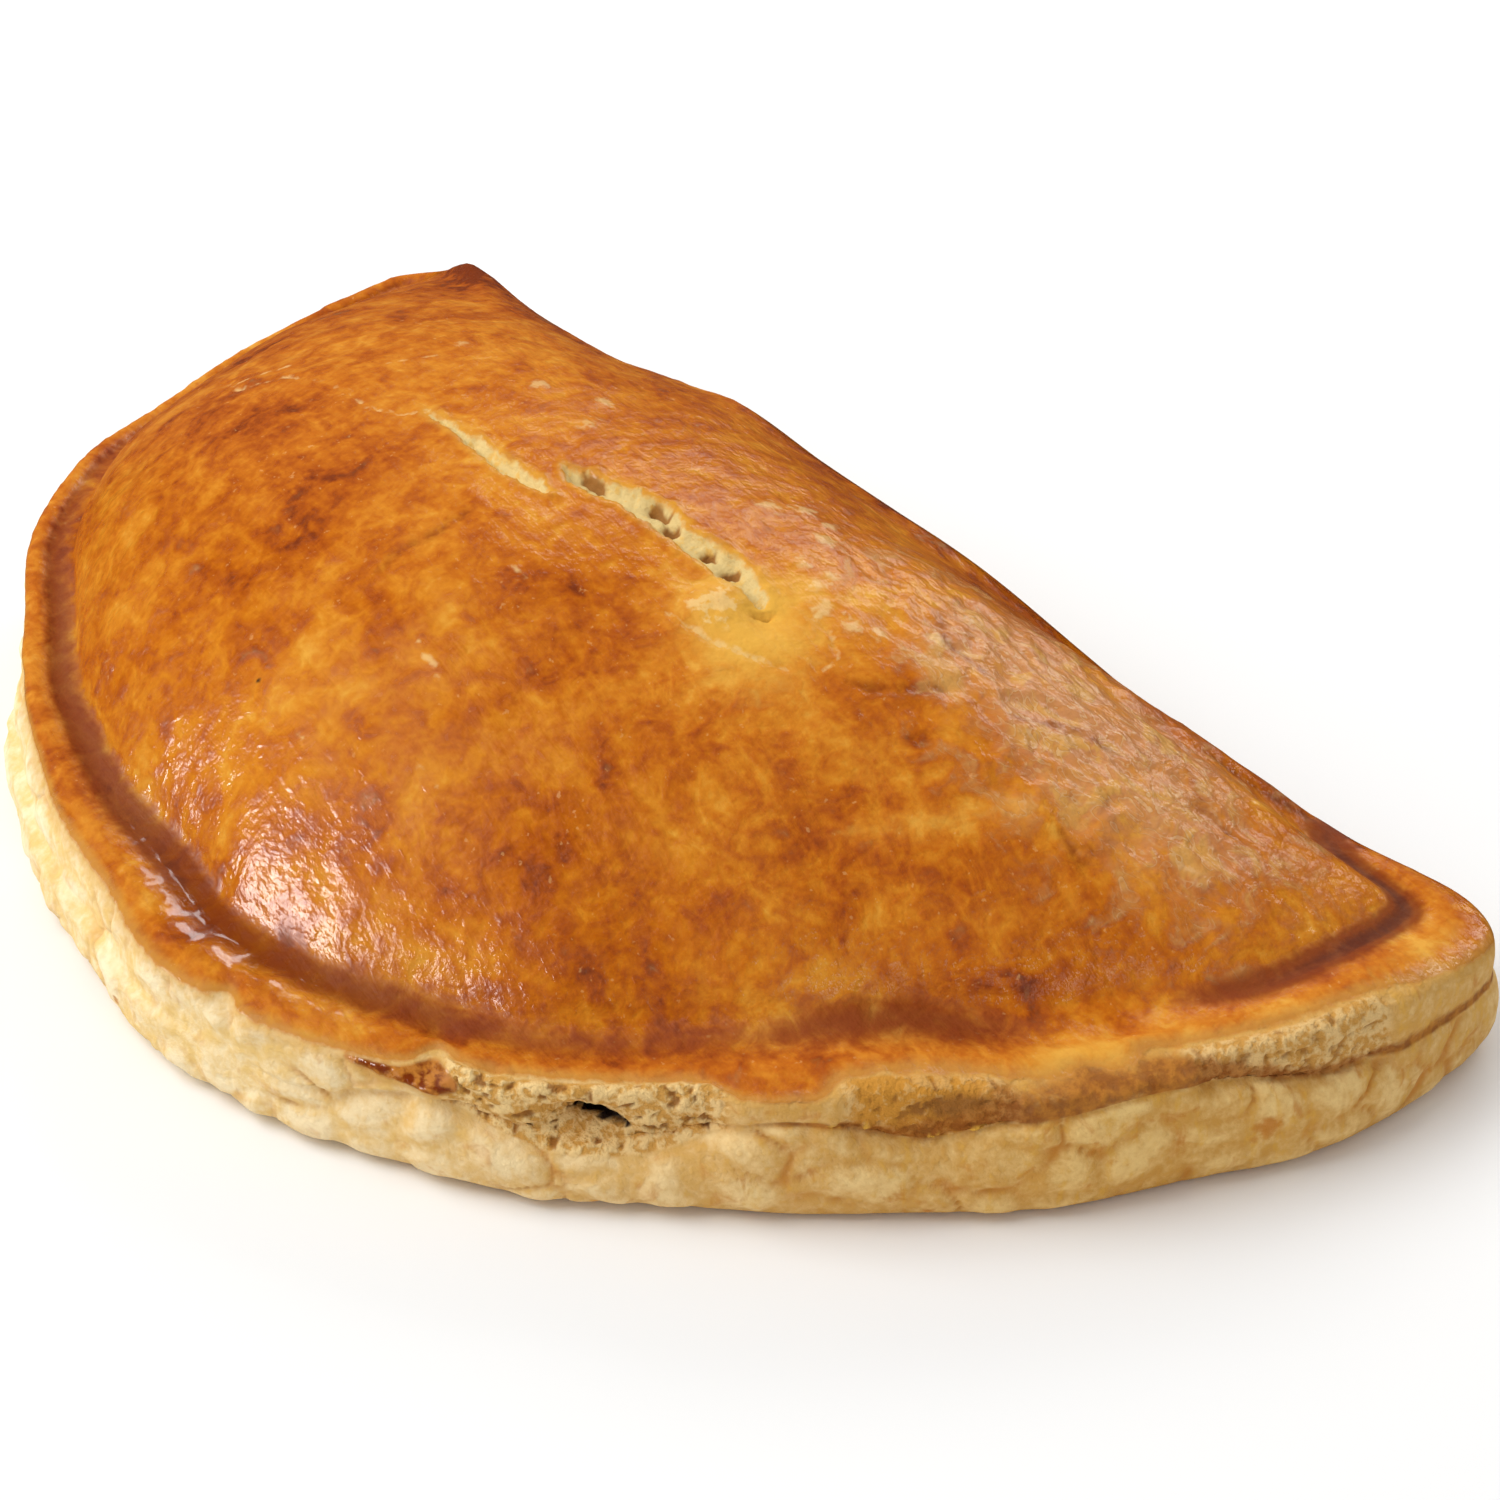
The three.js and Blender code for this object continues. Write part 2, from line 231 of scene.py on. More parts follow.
dome = {
    "height": 34.0, "peak": np.array([-8.0, -24.0]),
    "rounding": {"left": 2.3, "right": 2.0, "front": 2.4, "back": 2.2},
    "steepness": {"left": 0.69, "right": 0.8, "front": 0.85, "back": 1.1},
    "blunting": 18.0,  # degrees over which level lines round off towards the top
    "turnStep": 0.5, "leastSlant": 0.6,
    "rows": 15, "capReach": 0.8, "capStep": 0.7, "fineStep": 0.42,
    "fineArea": (16.0, -19.0, 52.0, 16.0),  # middle and half sizes of the net round the splits
    "sideRows": [(0, 2, 9), (2, 5, 15), (5, 10, 26), (10, 14, 13)],  # stations and steps
    "underRows": (0.25, 0.5, 0.75),
    "offEdge": 400.0,  # place given to points that lie on no stretch of the edge
}


def domeShare(reach, heading, pressed):
    x, y = heading[..., 0], heading[..., 1]
    turned = np.where(y < 0, x**2, 1) * pressed
    share = []
    for values in (dome["rounding"], dome["steepness"]):
        side = np.where(x < 0, values["left"], values["right"])
        middle = np.where(y < 0, values["front"], values["back"])
        share.append(mix(middle, side, turned))
    return (1 - np.minimum(reach, 1) ** share[0]) ** share[1]


def threaded(values, at):  # smooth curve through the stations of every section
    last = len(values) - 1
    i = np.clip(np.floor(at).astype(int), 0, last - 1)
    t = (at - i)[:, None]
    before, start = values[np.maximum(i - 1, 0)], values[i]
    end, after = values[i + 1], values[np.minimum(i + 2, last)]
    return 0.5 * (2 * start + (end - before) * t + (2 * before - 5 * start + 4 * end - after) * t**2
                  + (3 * start - before - 3 * end + after) * t**3)


def stitched(positions, rowCount, count):  # quads between rows, a fan below and a net on the cap
    this = np.arange(count)
    following = np.roll(this, -1)
    faces = []
    for row in range(rowCount - 1):
        a, b = row * count, (row + 1) * count
        faces += np.stack([a + this, a + following, b + following, b + this], -1).tolist()
    edges = list(zip(this.tolist(), following.tolist()))
    centre = len(positions) - 1
    faces += [[centre, k, j] for j, k in edges]
    rimStart = (rowCount - 1) * count
    corners = [Vector(p) for p in positions[rimStart:centre, :2]]
    made = delaunay_2d_cdt(corners, edges, [], 1, 1e-6)
    source = [rimStart + ids[0] for ids in made[3]]
    for face in made[2]:
        loop = [source[v] for v in face]
        p = positions[loop[:3], :2]
        turned = np.cross(p[1] - p[0], p[2] - p[0])
        faces.append(loop if turned > 0 else loop[::-1])
    return faces


def plainTurnover():  # points, faces and where each point lies, before any fine relief
    points, place = sampledOutline()
    count, peak = len(points), dome["peak"]
    tangent = np.roll(points, -1, 0) - np.roll(points, 1, 0)
    tangent /= np.linalg.norm(tangent, axis=1)[:, None]
    outward = np.stack([tangent[:, 1], -tangent[:, 0]], -1)
    inward = peak - points
    inward /= np.linalg.norm(inward, axis=1)[:, None]
    slant = np.maximum(dome["leastSlant"], -(inward * outward).sum(1))
    pressed = pressedAt(points)
    inset, height = borderSection(place)
    foldInset, foldHeight = foldSection(points[:, 0], len(inset))
    inset = mix(foldInset, inset, pressed) / slant
    height = mix(foldHeight, height, pressed)

    last = len(inset) - 1
    runs = [np.linspace(a, b, steps, endpoint=False) for a, b, steps in dome["sideRows"]]
    stations = np.concatenate(runs + [[last]])
    rowInset, rowHeight = threaded(inset, stations), np.maximum(threaded(height, stations), 0)
    side = points + inward * rowInset[..., None]
    foot, footHeight = side[-1], rowHeight[-1]

    # the dome's foot seen from the peak, and the same with its corners rounded off
    heading = -inward
    angle = np.arctan2(heading[:, 1], heading[:, 0])
    order = np.argsort(angle)
    far = np.linalg.norm(foot - peak, axis=1)
    turns = np.radians(np.arange(-180, 180, dome["turnStep"]))
    weights = bell(turns, math.radians(dome["blunting"]))

    def around(values, wanted):
        a = angle[order]
        wrapped = np.concatenate([a - 2 * np.pi, a, a + 2 * np.pi])
        return np.interp(wanted, wrapped, np.tile(values[order], 3))

    def blunt(values, wanted):  # averaged over the directions nearby
        spread = np.fft.fft(around(values, turns)) * np.fft.fft(np.fft.ifftshift(weights))
        return np.interp(wanted, turns, np.fft.ifft(spread).real / weights.sum(), period=2 * np.pi)

    def domeHeight(reach, turn, away):
        distance = around(far, turn)
        level = reach * distance / mix(blunt(far, turn), distance, reach**3)
        base = mix(blunt(footHeight, turn), around(footHeight, turn), reach**4)
        return mix(base, dome["height"], domeShare(level, away, blunt(pressed, turn)))

    reaches = np.linspace(1, dome["capReach"], dome["rows"] + 1)[1:]
    ring = peak + (foot - peak) * reaches[:, None, None]
    ringHeight = domeHeight(reaches[:, None], angle[None], heading[None])

    # the cap is an even net, finer round the splits, so that nothing pinches at the peak
    rim = ring[-1]

    def netPoints(step):
        low, high = rim.min(0), rim.max(0)
        lines = np.arange(low[1], high[1], step * 0.866)
        gx, gy = np.meshgrid(np.arange(low[0], high[0], step), lines)
        gx = gx + step * 0.5 * (np.arange(len(lines)) % 2)[:, None]
        net = np.stack([gx.ravel(), gy.ravel()], -1)
        away = net - peak
        limit = around(np.linalg.norm(rim - peak, axis=1), np.arctan2(away[:, 1], away[:, 0]))
        return net[np.linalg.norm(away, axis=1) < limit - 0.5 * dome["capStep"]]

    coarse, fine, area = netPoints(dome["capStep"]), netPoints(dome["fineStep"]), dome["fineArea"]
    net = np.concatenate([coarse[oval(coarse, *area) >= 1], fine[oval(fine, *area) < 1]])
    away = net - peak
    distance = np.linalg.norm(away, axis=1)
    turn = np.arctan2(away[:, 1], away[:, 0])
    capReach = distance / around(far, turn)
    capHeight = domeHeight(capReach, turn, away / np.maximum(distance, 1e-6)[:, None])

    # underside rings, then the side, dome and cap
    shrink = np.array(dome["underRows"])[:, None, None]
    under = peak + (side[0] - peak) * shrink
    rows = np.concatenate([np.dstack([under, np.zeros(under.shape[:2])]),
                           np.dstack([side, rowHeight]), np.dstack([ring, ringHeight])])
    rowStation = np.concatenate([np.full(len(under), -1.0), stations, last + 2 - reaches])
    positions = np.concatenate([rows.reshape(-1, 3), np.column_stack([net, capHeight]), [[*peak, 0.0]]])
    offEdge = np.full(len(net) + 1, dome["offEdge"])
    here = SimpleNamespace(
        positions=positions, plan=positions[:, :2], height=positions[:, 2],
        station=np.concatenate([np.repeat(rowStation, count), last + 2 - capReach, [-2.0]]),
        place=np.concatenate([np.tile(place, len(rows)), offEdge]),
        pressed=np.concatenate([np.tile(pressed, len(rows)), around(pressed, turn), [0.0]]),
    )
    return here, stitched(positions, len(rows), count)


def normalsOf(positions, faces):
    sums = np.zeros_like(positions)
    for size in (3, 4):
        group = np.array([f for f in faces if len(f) == size])
        corners = positions[group]
        facing = np.cross(corners[:, 2] - corners[:, 0], corners[:, -1] - corners[:, 1])
        for k in range(size):
            np.add.at(sums, group[:, k], facing)
    return sums / np.maximum(np.linalg.norm(sums, axis=1), 1e-9)[:, None]


# Lines across the glazed top: (x, y, half width) on the plan
splits = {
    "upper": [(-27.4, -26.1, 0.25), (-22, -26.3, 0.45), (-18.2, -26.8, 0.85), (-13.3, -27.3, 1),
        (-9.6, -27.35, 0.8), (-7.3, -27.5, 0.3)],
    "lower": [(-9.7, -23.3, 0.2), (-7.5, -23.6, 1.1), (-4.4, -23.2, 1.4), (-1.6, -22.2, 1.3),
        (1.9, -21.8, 1.7), (5.3, -22.2, 1.25), (8.5, -21.8, 1.4), (11.9, -21.6, 1.6), (14, -21.6, 1.3),
        (16.5, -22.1, 0.8)],
    "hairline": [(-58, -29.6, 0.12), (-52.3, -31.2, 0.3), (-48.5, -28.2, 0.25), (-43.9, -27.7, 0.25),
        (-39, -27.6, 0.2), (-33.4, -28.9, 0.3), (-29.7, -28, 0.2), (-27.4, -26.1, 0.25)],
    "branch": [(16.5, -20, 0.1), (20.3, -19.8, 0.15), (23.4, -20, 0.2), (25.9, -21.3, 0.15),
        (26.5, -25, 0)],
    "rim": [(12.6, -29.8, 0.15), (14.9, -29.3, 0.3), (17.8, -28.8, 0.35), (20.6, -27.7, 0.3),
        (24.5, -25.8, 0.2)],
    "slit": [(17.5, -24, 0.05), (18.2, -22.9, 0.35), (18.9, -21.7, 0.05)],
    "holes": [(-6.2, -22.6, 1.9, 0.6), (1, -20.9, 1.4, 0.6), (3.9, -21.6, 0.8, 0.8),
        (8.7, -21.3, 0.7, 0.7), (11.8, -21.3, 0.8, 0.9)],  # x, y, half length, half width
    "pit": (18.4, -23, 2.2), "blister": (14.7, -25.7, 2.5),  # x, y, radius, also of the scabs
    # pale raised scabs; their pale colour is partly their own and partly a painted highlight of glints on
    # flaky bits
    "scabs": [(5.7, -11.2, 1.5), (7.2, -8.8, 1.7), (10.4, -8.4, 0.9), (12.7, -10.7, 1.3),
        (14.5, -15.4, 1.3), (17.6, -14.5, 1.3), (18, -16.8, 1.2), (20.5, -18.5, 1.3),
        (23.6, -17.7, 1.5), (26, -16.2, 1.3), (-24, -14.5, 1.2), (-15, -16.2, 1.5), (-18, -11.8, 1.3),
        (-37.5, -14.2, 1.1), (29, -12, 1.3)],
    # short raised flakes whose pale colour paints glints on the glaze, painted highlight
    "glintFlakes": [
        [(-1.2, -47.5, 0.1), (1.6, -48, 0.3), (3.9, -48.7, 0.1)],
        [(-6.7, -58.4, 0.1), (-2.9, -58.9, 0.15)],
        [(6.6, -54.9, 0.1), (9, -55, 0.25), (11.4, -54.8, 0.1)], [(-2.6, -36.6, 0.1), (1.1, -36.7, 0.2)],
        [(-55.2, -30.4, 0.2), (-50.6, -26, 0.1)], [(-39.6, -22, 0.15), (-36.8, -17.3, 0.2)],
    ],
    "furrows": [
        [(39.3, -12.5, 0.1), (42.3, -8.5, 0.35), (46.5, -6.5, 0.1)],
        [(47.3, 4.5, 0.2), (52, 7.2, 0.5), (56.2, 11.1, 0.4)],
        [(-10.8, -44.1, 0.1), (-11.2, -41.5, 0.25), (-10.2, -37.6, 0.25), (-10.3, -34, 0.1)],
        [(28.5, -22.5, 0.1), (30.3, -21.4, 0.4), (32.1, -18.8, 0.4), (33.7, -16.1, 0.1)],
        [(-41.9, 2, 0.2), (-34, 0.9, 0.4), (-27.3, 0.6, 0.2)],
        [(49.9, -17.1, 0.1), (52.7, -17.4, 0.4), (53, -13.9, 0.1)],
        [(26, -9, 0.1), (29.5, -11.5, 0.3), (34, -11, 0.1)],
        [(50, -1, 0.1), (54, -3.5, 0.3), (58, -3, 0.1)],
        [(36.4, -21.8, 0.5), (36.8, -21.2, 0.5)],
    ],
    # a pale golden line along a fold of the top, painted highlight
    "foldHighlightStreak": [(38.5, -32.4, 0.2), (41.4, -28.1, 0.6), (43.7, -24.4, 0.6), (45.9, -18.5, 0.5)],
    # how far coarse and fine grain shift the edge, then where it starts and is full
    "slitEdge": (0, 0.15, -0.1, 0.3), "glintFlakeEdge": (0, 0.15, -0.2, 0.15),
    "furrowEdge": (0.2, 0.1, -0.7, 0.5), "streakEdge": (0.5, 0, -1.6, 0.6),
    "splitGrain": (0.35, 0.3), "hairlineGrain": (0.25, 0.15),
    "offTop": 50,  # how far outside a split every point off the dome counts
}

# darker and golden marks of the crust; some are painted light: the right of the sides and the band above
# the seam are darkened partly with painted shade, the lip top with painted shade, and a line along a fold
# is a painted highlight
crustTones = {
    "spots": [(-22, -47.5, 4.5, 0.7), (-36.6, -48, 5, 0.5), (-41.3, -35.5, 4.5, 0.7),
        (-25.6, -35.4, 3.5, 0.6), (8.4, -51.2, 2.2, 0.8), (10.5, -62.1, 2.4, 0.9), (5.3, -33.8, 3, 0.8),
        (12.6, -37.5, 4, 0.5), (-42.3, -24.4, 4, 0.4), (36.5, -21.4, 1.1, 1.2), (33, -18, 2.2, 0.6),
        (59.5, -11.9, 7, 0.45), (24, -54, 4, 0.6), (-29, -48.4, 3.5, 0.5), (17.6, -31, 2.5, 0.4),
        (2, -36, 6, 0.4), (32, -48, 14, 0.45), (-60, 4, 13, 1.1), (-57, -51, 9, 0.7),
        (-66, -22, 12, 0.8), (-46, -36, 8, 0.6)],  # x, y, radius, strength
    "crease": [(-185, 0.2), (-130, 0.5), (-85, 0.65), (-60, 0.9), (-35, 1.15), (-12, 1.2), (0, 1.1),
        (12, 1), (25, 1.05), (38, 0.7), (50, 0.6), (62, 0.65), (74, 0.95), (84, 0.9), (91, 0.3),
        (100, 0.15), (104, 0.4), (109, 0.95), (118, 1.3), (128, 1.5), (140, 1.4), (150, 0.8),
        (170, 0.4), (190, 0.2)],
    "creaseWidth": [(-185, 0.9), (-130, 1.1), (-40, 1.1), (20, 1.25), (70, 1.4), (84, 1.3), (100, 0.9),
        (150, 0.85), (185, 0.9)],
    "creaseStation": 13, "tongueCrease": 0.3,
    "foldShade": 0.9, "foldShadeRun": (-4, 10), "speck": (-12.5, -57, 0.45),
    # tan: the papery patch on the right of the top, whose pale tan colour is partly its own and partly
    # painted sheen
    "tan": (42, -6, 26, 13), "golden": (19, -25, 8),  # middle, then half sizes or radius
    "dryTop": (0.4, 0.62), "dryTopFrom": (-54, -36), "dryTopLeft": (-5, 30),  # right and left share
    "dryFoot": (17, -60, 9), "dryFootShare": 0.55,
    # lipDark darkens the flat top of the front lip against the strong top light, painted shade
    "lipDark": (11.6, 1.4), "lipDarkness": 0.5,  # station and half height
    "lipDarkRuns": [(0.4, -80, -60), (0.6, 18, 34), (-1, 72, 84)],  # gain, from and to which place
    # goldStreak is the strength of the painted highlight along the fold
    "lipGold": (11, 0.9), "lipGoldness": 0.2, "goldStreak": 0.55,
    "goldSpots": [(124, 10, 0.3), (91, 8, 0.5)], "goldSpotHeight": (11, 1.2),  # place, length, strength
    "seam": (5.9, 0.8), "seamRun": (55, 66, 134, 142),  # station and half height, then fading places
    # darker band above the seam under the lip: partly browning, partly painted shade
    "toastedAndShaded": (90, 13), "toastedAndShadedRise": 2.5, "toastedAndShadedSpread": 1.9,  # browned band above the seam
    "brownTear": (74, 8), "brownTearEdge": (0.1, 0.5),  # place and half length
    "wet": (4, 22),  # place and half length of the stretch by the crease with the thickest egg wash
    "flecks": [(-5.9, 3, 0.6), (96, 6.5, 0.7), (74.4, 1.2, 0.8), (104, 6, 1.6)],  # place, height, radius
    # how far the sides take the darker right colours, by place: partly deeper baking, partly painted
    # shade on the side away from the light
    "sideTone": [(-185, 0.4), (-140, 0.35), (-90, 0.1), (-40, 0), (5, 0.08), (25, 0.3), (45, 0.5),
        (65, 0.72), (90, 0.85), (130, 0.7), (160, 0.45), (185, 0.4)],
}


def lineField(plan, line):  # positive inside the line, in millimetres
    best = np.full(len(plan), -99.0)
    for (ax, ay, aw), (bx, by, bw) in zip(line, line[1:]):
        start, run = np.array([ax, ay]), np.array([bx - ax, by - ay])
        t = np.clip(((plan - start) @ run) / (run @ run), 0, 1)
        gap = np.linalg.norm(plan - start - t[:, None] * run, axis=1)
        best = np.maximum(best, mix(aw, bw, t) - gap)
    return best


def spot(plan, x, y, radius):  # 1 at the middle, 0 well outside
    return bell(oval(plan, x, y, radius, radius), 1)


def inLines(here, lines, coarse, fine):  # positive inside any of the lines, with an uneven edge
    inside = np.max([lineField(here.plan, line) for line in lines], axis=0)
    return inside + coarse * here.ragged + fine * here.frayed


def drawn(here, lines, coarse, fine, start, full):  # 1 inside any of the lines, on the top only
    return ease(inLines(here, lines, coarse, fine), start, full) * here.top


def skinMarks(here):  # splits, holes, flakes and furrows of the glazed top
    s, plan, top = splits, here.plan, here.top
    split = mix(-s["offTop"], inLines(here, [s["upper"], s["lower"]], *s["splitGrain"]), top)
    thin = inLines(here, [s["hairline"], s["branch"], s["rim"]], *s["hairlineGrain"])
    holes = np.zeros(len(plan))
    for hole in s["holes"]:
        holes = np.maximum(holes, 1 - ease(oval(plan, *hole) * (1 + 0.5 * here.frayed), 0.4, 1.2))
    return {
        "split": split, "hairline": mix(-s["offTop"], thin, top), "holes": holes * ease(split, -0.4, 0.2),
        "slit": drawn(here, [s["slit"]], *s["slitEdge"]),
        "flake": drawn(here, s["glintFlakes"], *s["glintFlakeEdge"]),
        "furrow": drawn(here, s["furrows"], *s["furrowEdge"]),
        "pit": spot(plan, *s["pit"]) * top, "blister": spot(plan, *s["blister"]) * top,
        "scab": np.max([spot(plan, *patch) for patch in s["scabs"]], axis=0) * top,
        "tan": bell(oval(plan, *crustTones["tan"]), 1) * top,
    }


relief = {  # heights and depths in millimetres
    "lumps": 0.35, "dents": 0.16, "wrinkles": 0.08, "crinkles": 0.34,
    "splitDepth": 1.05, "splitRise": 0.16, "splitBed": 0.16, "hairline": 0.3,
    "holes": 0.9, "pit": 0.8, "slit": 1.1, "furrow": 0.18,
    "blister": 0.5, "scab": 0.12, "flake": 0.1, "wetBubbles": 0.16,
    "patches": 0.44, "patchCracks": 0.26, "patchSkin": 0.12,
    "crumbFill": 0.6, "crumbLayers": 0.22, "crumbPits": 0.35, "mouth": 3, "nook": 0.5,
    "looseCrumbs": 0.4, "fray": 0.12, "tornFray": 0.3,
}

grains = {  # size in millimetres, seed, octaves
    "ragged": (1.7, 3, 2), "frayed": (0.75, 5, 2),
    "lumps": (21, 1), "dents": (8, 2, 2), "wrinkles": (2.6, 4, 2), "crinkles": (2.7, 8, 2),
    "splitBed": (0.9, 6, 2), "blister": (1.3, 7, 2), "wetBubbles": (2.6, 14, 2),
    "wanderAlong": (6, 21), "wanderUp": (6, 22), "patchCracks": (9, 23), "patchSkin": (2.4, 9, 3),
    "layers": (1, 11, 3), "strands": (1, 12, 2), "fray": (1.6, 13, 2),
}

zones = {  # stations over which each part of the surface starts or ends
    "top": (12.6, 14.2), "side": (0.6, 1.6, 9, 10), "seated": (0.2, 1.2), "foldShade": (5, 9),
    "patchesEnd": (4.8, 5.6), "leftPatchesEnd": (8.2, 9.2), "tornStart": (5.3, 6),
    "tornEnd": (9.6, 10.3), "wet": (10.2, 11, 13.6, 14.4),
}


def skinRelief(here, marks):
    r, split = relief, marks["split"]

    def rough(name):
        return grain(here.positions, *grains[name])

    crinkle = 1 - 2.2 * np.abs(grain(here.positions * np.array([0.55, 1, 1]), *grains["crinkles"]))
    move = here.top * sum(r[name] * rough(name) for name in ("lumps", "dents", "wrinkles"))
    move += r["crinkles"] * ease(marks["tan"], 0.15, 0.6) * crinkle
    move -= r["splitDepth"] * ease(split, -0.1, 0.7)
    move += r["splitRise"] * bell(split + 0.5, 0.5) * (1 + 1.5 * here.ragged)
    move += r["splitBed"] * ease(split, 0.2, 0.6) * rough("splitBed")
    move -= r["hairline"] * ease(marks["hairline"], -0.1, 0.3)
    move -= sum(r[name] * marks[name] for name in ("holes", "pit", "slit", "furrow"))
    move += r["blister"] * marks["blister"] * (1 + 0.6 * rough("blister"))
    move += r["scab"] * marks["scab"] * (1 + here.frayed) + r["flake"] * marks["flake"]
    return move + r["wetBubbles"] * here.wet * rough("wetBubbles")


patches = {
    "size": 6.2, "seed": 2, "heightScale": 1.35, "wander": 2.2,
    "edge": 0.6, "crackEdge": 0.1, "crackShow": (-0.15, 0.3),
    "leftSide": (22, 34),  # places over which the patches stop reaching up to the lip
    "flatter": (82, 102, 0.5),  # places over which they lose this share of their height
}


def sidePatches(here):  # swollen patches of the lower side
    place, station, none = here.place, here.station, 0 * here.place
    unrolled = np.column_stack([place, patches["heightScale"] * here.height, none])
    wander = [grain(unrolled, *grains["wanderAlong"]), grain(unrolled, *grains["wanderUp"]), none]
    near, second = cells(unrolled + patches["wander"] * np.column_stack(wander),
                         patches["size"], patches["seed"])
    lower = here.side * (1 - ease(station, *zones["patchesEnd"]))
    leftSide = here.side * (1 - ease(place, *patches["leftSide"]))
    lower = np.maximum(lower, leftSide * (1 - ease(station, *zones["leftPatchesEnd"])))
    patch = ease(second - near, 0.0, patches["edge"])
    shown = ease(grain(unrolled, *grains["patchCracks"]), *patches["crackShow"])
    crack = lower * (1 - ease(second - near, 0.0, patches["crackEdge"])) * shown
    start, end, share = patches["flatter"]
    move = lower * relief["patches"] * (1 - share * ease(place, start, end)) * (patch - 0.5)
    move += lower * relief["patchSkin"] * grain(here.positions, *grains["patchSkin"])
    return move - relief["patchCracks"] * crack, patch * lower, crack


crumb = {
    "layerRun": (2.4, 0.8), "strandRun": (1.1, 0.7),  # millimetres along the edge and upwards
    "shelf": (46, 12), "shelfDrop": 1.2,  # where and how far a tear takes in the shelf below
    "pores": (0.2, 0.5), "mouthEdge": (0.25, 0.42),
    "mouth": (46.9, 2.3), "mouthHeight": (8.2, 0.75),  # place and half length, height and its half
    "nook": (77.5, 3.6), "nookStation": (8.3, 0.8),
    "loose": [(66.5, 6), (69.5, 6.4), (75.5, 6.2), (79, 6.3), (80.2, 5.8)],  # place and station
    "looseSize": 0.7,
    "frayed": (10.2, 0.5),  # station and half height of the frayed upper edge
}


def tornCrumb(here):  # torn crumb in thin layers
    place, station, none = here.place, here.station, 0 * here.place

    def drawnOut(run, name):
        return grain(np.column_stack([place / run[0], here.height / run[1], none]), *grains[name])

    opened = tearAt(place) * here.pressed
    layers, strands = drawnOut(crumb["layerRun"], "layers"), drawnOut(crumb["strandRun"], "strands")
    lowered = station + crumb["shelfDrop"] * band(place, *crumb["shelf"])
    torn = opened * ease(lowered, *zones["tornStart"]) * (1 - ease(station, *zones["tornEnd"]))
    pores = ease(strands, *crumb["pores"])
    filled = relief["crumbFill"] + relief["crumbLayers"] * layers - relief["crumbPits"] * pores
    mouth = band(here.height - 0.3 * layers, *crumb["mouthHeight"]) * torn * band(place, *crumb["mouth"])
    nook = band(place, *crumb["nook"]) * band(station, *crumb["nookStation"]) * torn
    gaps = [np.hypot(place - x, (station - s) * 0.8) for x, s in crumb["loose"]]
    loose = sum(bell(gap, crumb["looseSize"]) for gap in gaps)
    loose = loose * here.pressed * ease(here.frayed, -0.5, 0.3)
    fray = band(station, *crumb["frayed"]) * here.pressed
    fray *= relief["fray"] + relief["tornFray"] * opened
    move = torn * filled - relief["mouth"] * ease(mouth, *crumb["mouthEdge"]) - relief["nook"] * nook
    move += relief["looseCrumbs"] * loose + fray * grain(here.positions, *grains["fray"])
    return move, {"torn": torn, "pores": pores, "mouth": mouth, "nook": nook, "loose": loose}


glazed = {
    "edge": [(-130, 9.2), (-60, 9.4), (-20, 9), (0, 9), (12, 9.1), (24, 9.3), (29, 9.6), (32, 10.2),
        (55, 10), (60, 9), (65, 8.9), (68, 9.9), (84, 10), (88, 9.9), (95, 9.9), (98, 10.2),
        (118, 10.1), (124, 9.4), (140, 8.5)],  # place, and the station where the egg wash ends
    "foldEdge": 5, "sharpness": 1.5, "most": 4,
    "tongue": [(23, 9, 0.3), (28, 8.5, 0.7), (31.5, 8.2, 0.85), (33.3, 8.1, 0.4)],  # place, station, half
    "tongueEdge": (-0.3, 0.4),  # the tongue is a drip of egg wash
    "lip": (11.3, 1.2),  # station and half height of the duller lip
}


# the band above the seam is partly painted shade, the lip top painted shade, and the golden line along a
# fold a painted highlight
def crustToning(here):  # crease, darker, golden and toasted parts
    b, plan, place, station, top = crustTones, here.plan, here.place, here.station, here.top
    crease = band(station, b["creaseStation"], along(b["creaseWidth"], place))
    crease *= along(b["crease"], place)
    crease = np.where(place == dome["offEdge"], 0, crease) + b["tongueCrease"] * here.tongue
    dark = sum(power * spot(plan, x, y, radius) for x, y, radius, power in b["spots"]) * top
    foldShade = ease(plan[:, 1], *b["foldShadeRun"]) * ease(station, *zones["foldShade"])
    dark += b["foldShade"] * foldShade * (1 - here.pressed)
    # painted shade on the flat top of the front lip
    runs = sum(gain * ease(place, start, end) for gain, start, end in b["lipDarkRuns"])
    dark += b["lipDarkness"] * band(station, *b["lipDark"]) * runs * here.pressed
    golden = sum(power * band(place, at, half) for at, half, power in b["goldSpots"])
    golden *= band(station, *b["goldSpotHeight"])
    golden += b["lipGoldness"] * band(station, *b["lipGold"])
    golden = golden * here.pressed + spot(plan, *b["golden"]) * top
    # painted highlight: a pale golden line along a fold of the top
    golden += b["goldStreak"] * drawn(here, [splits["foldHighlightStreak"]], *splits["streakEdge"])
    # the seam's dark band rises and widens above the seam under the lip, partly painted shade
    toastedAndShaded, (seamAt, seamHigh) = band(place, *b["toastedAndShaded"]), b["seam"]
    seamAt, seamHigh = seamAt + b["toastedAndShadedRise"] * toastedAndShaded, seamHigh + b["toastedAndShadedSpread"] * toastedAndShaded
    seam = band(station, seamAt, seamHigh) * span(place, *b["seamRun"]) * here.pressed
    return {"crease": crease, "dark": dark, "golden": golden, "seam": seam}


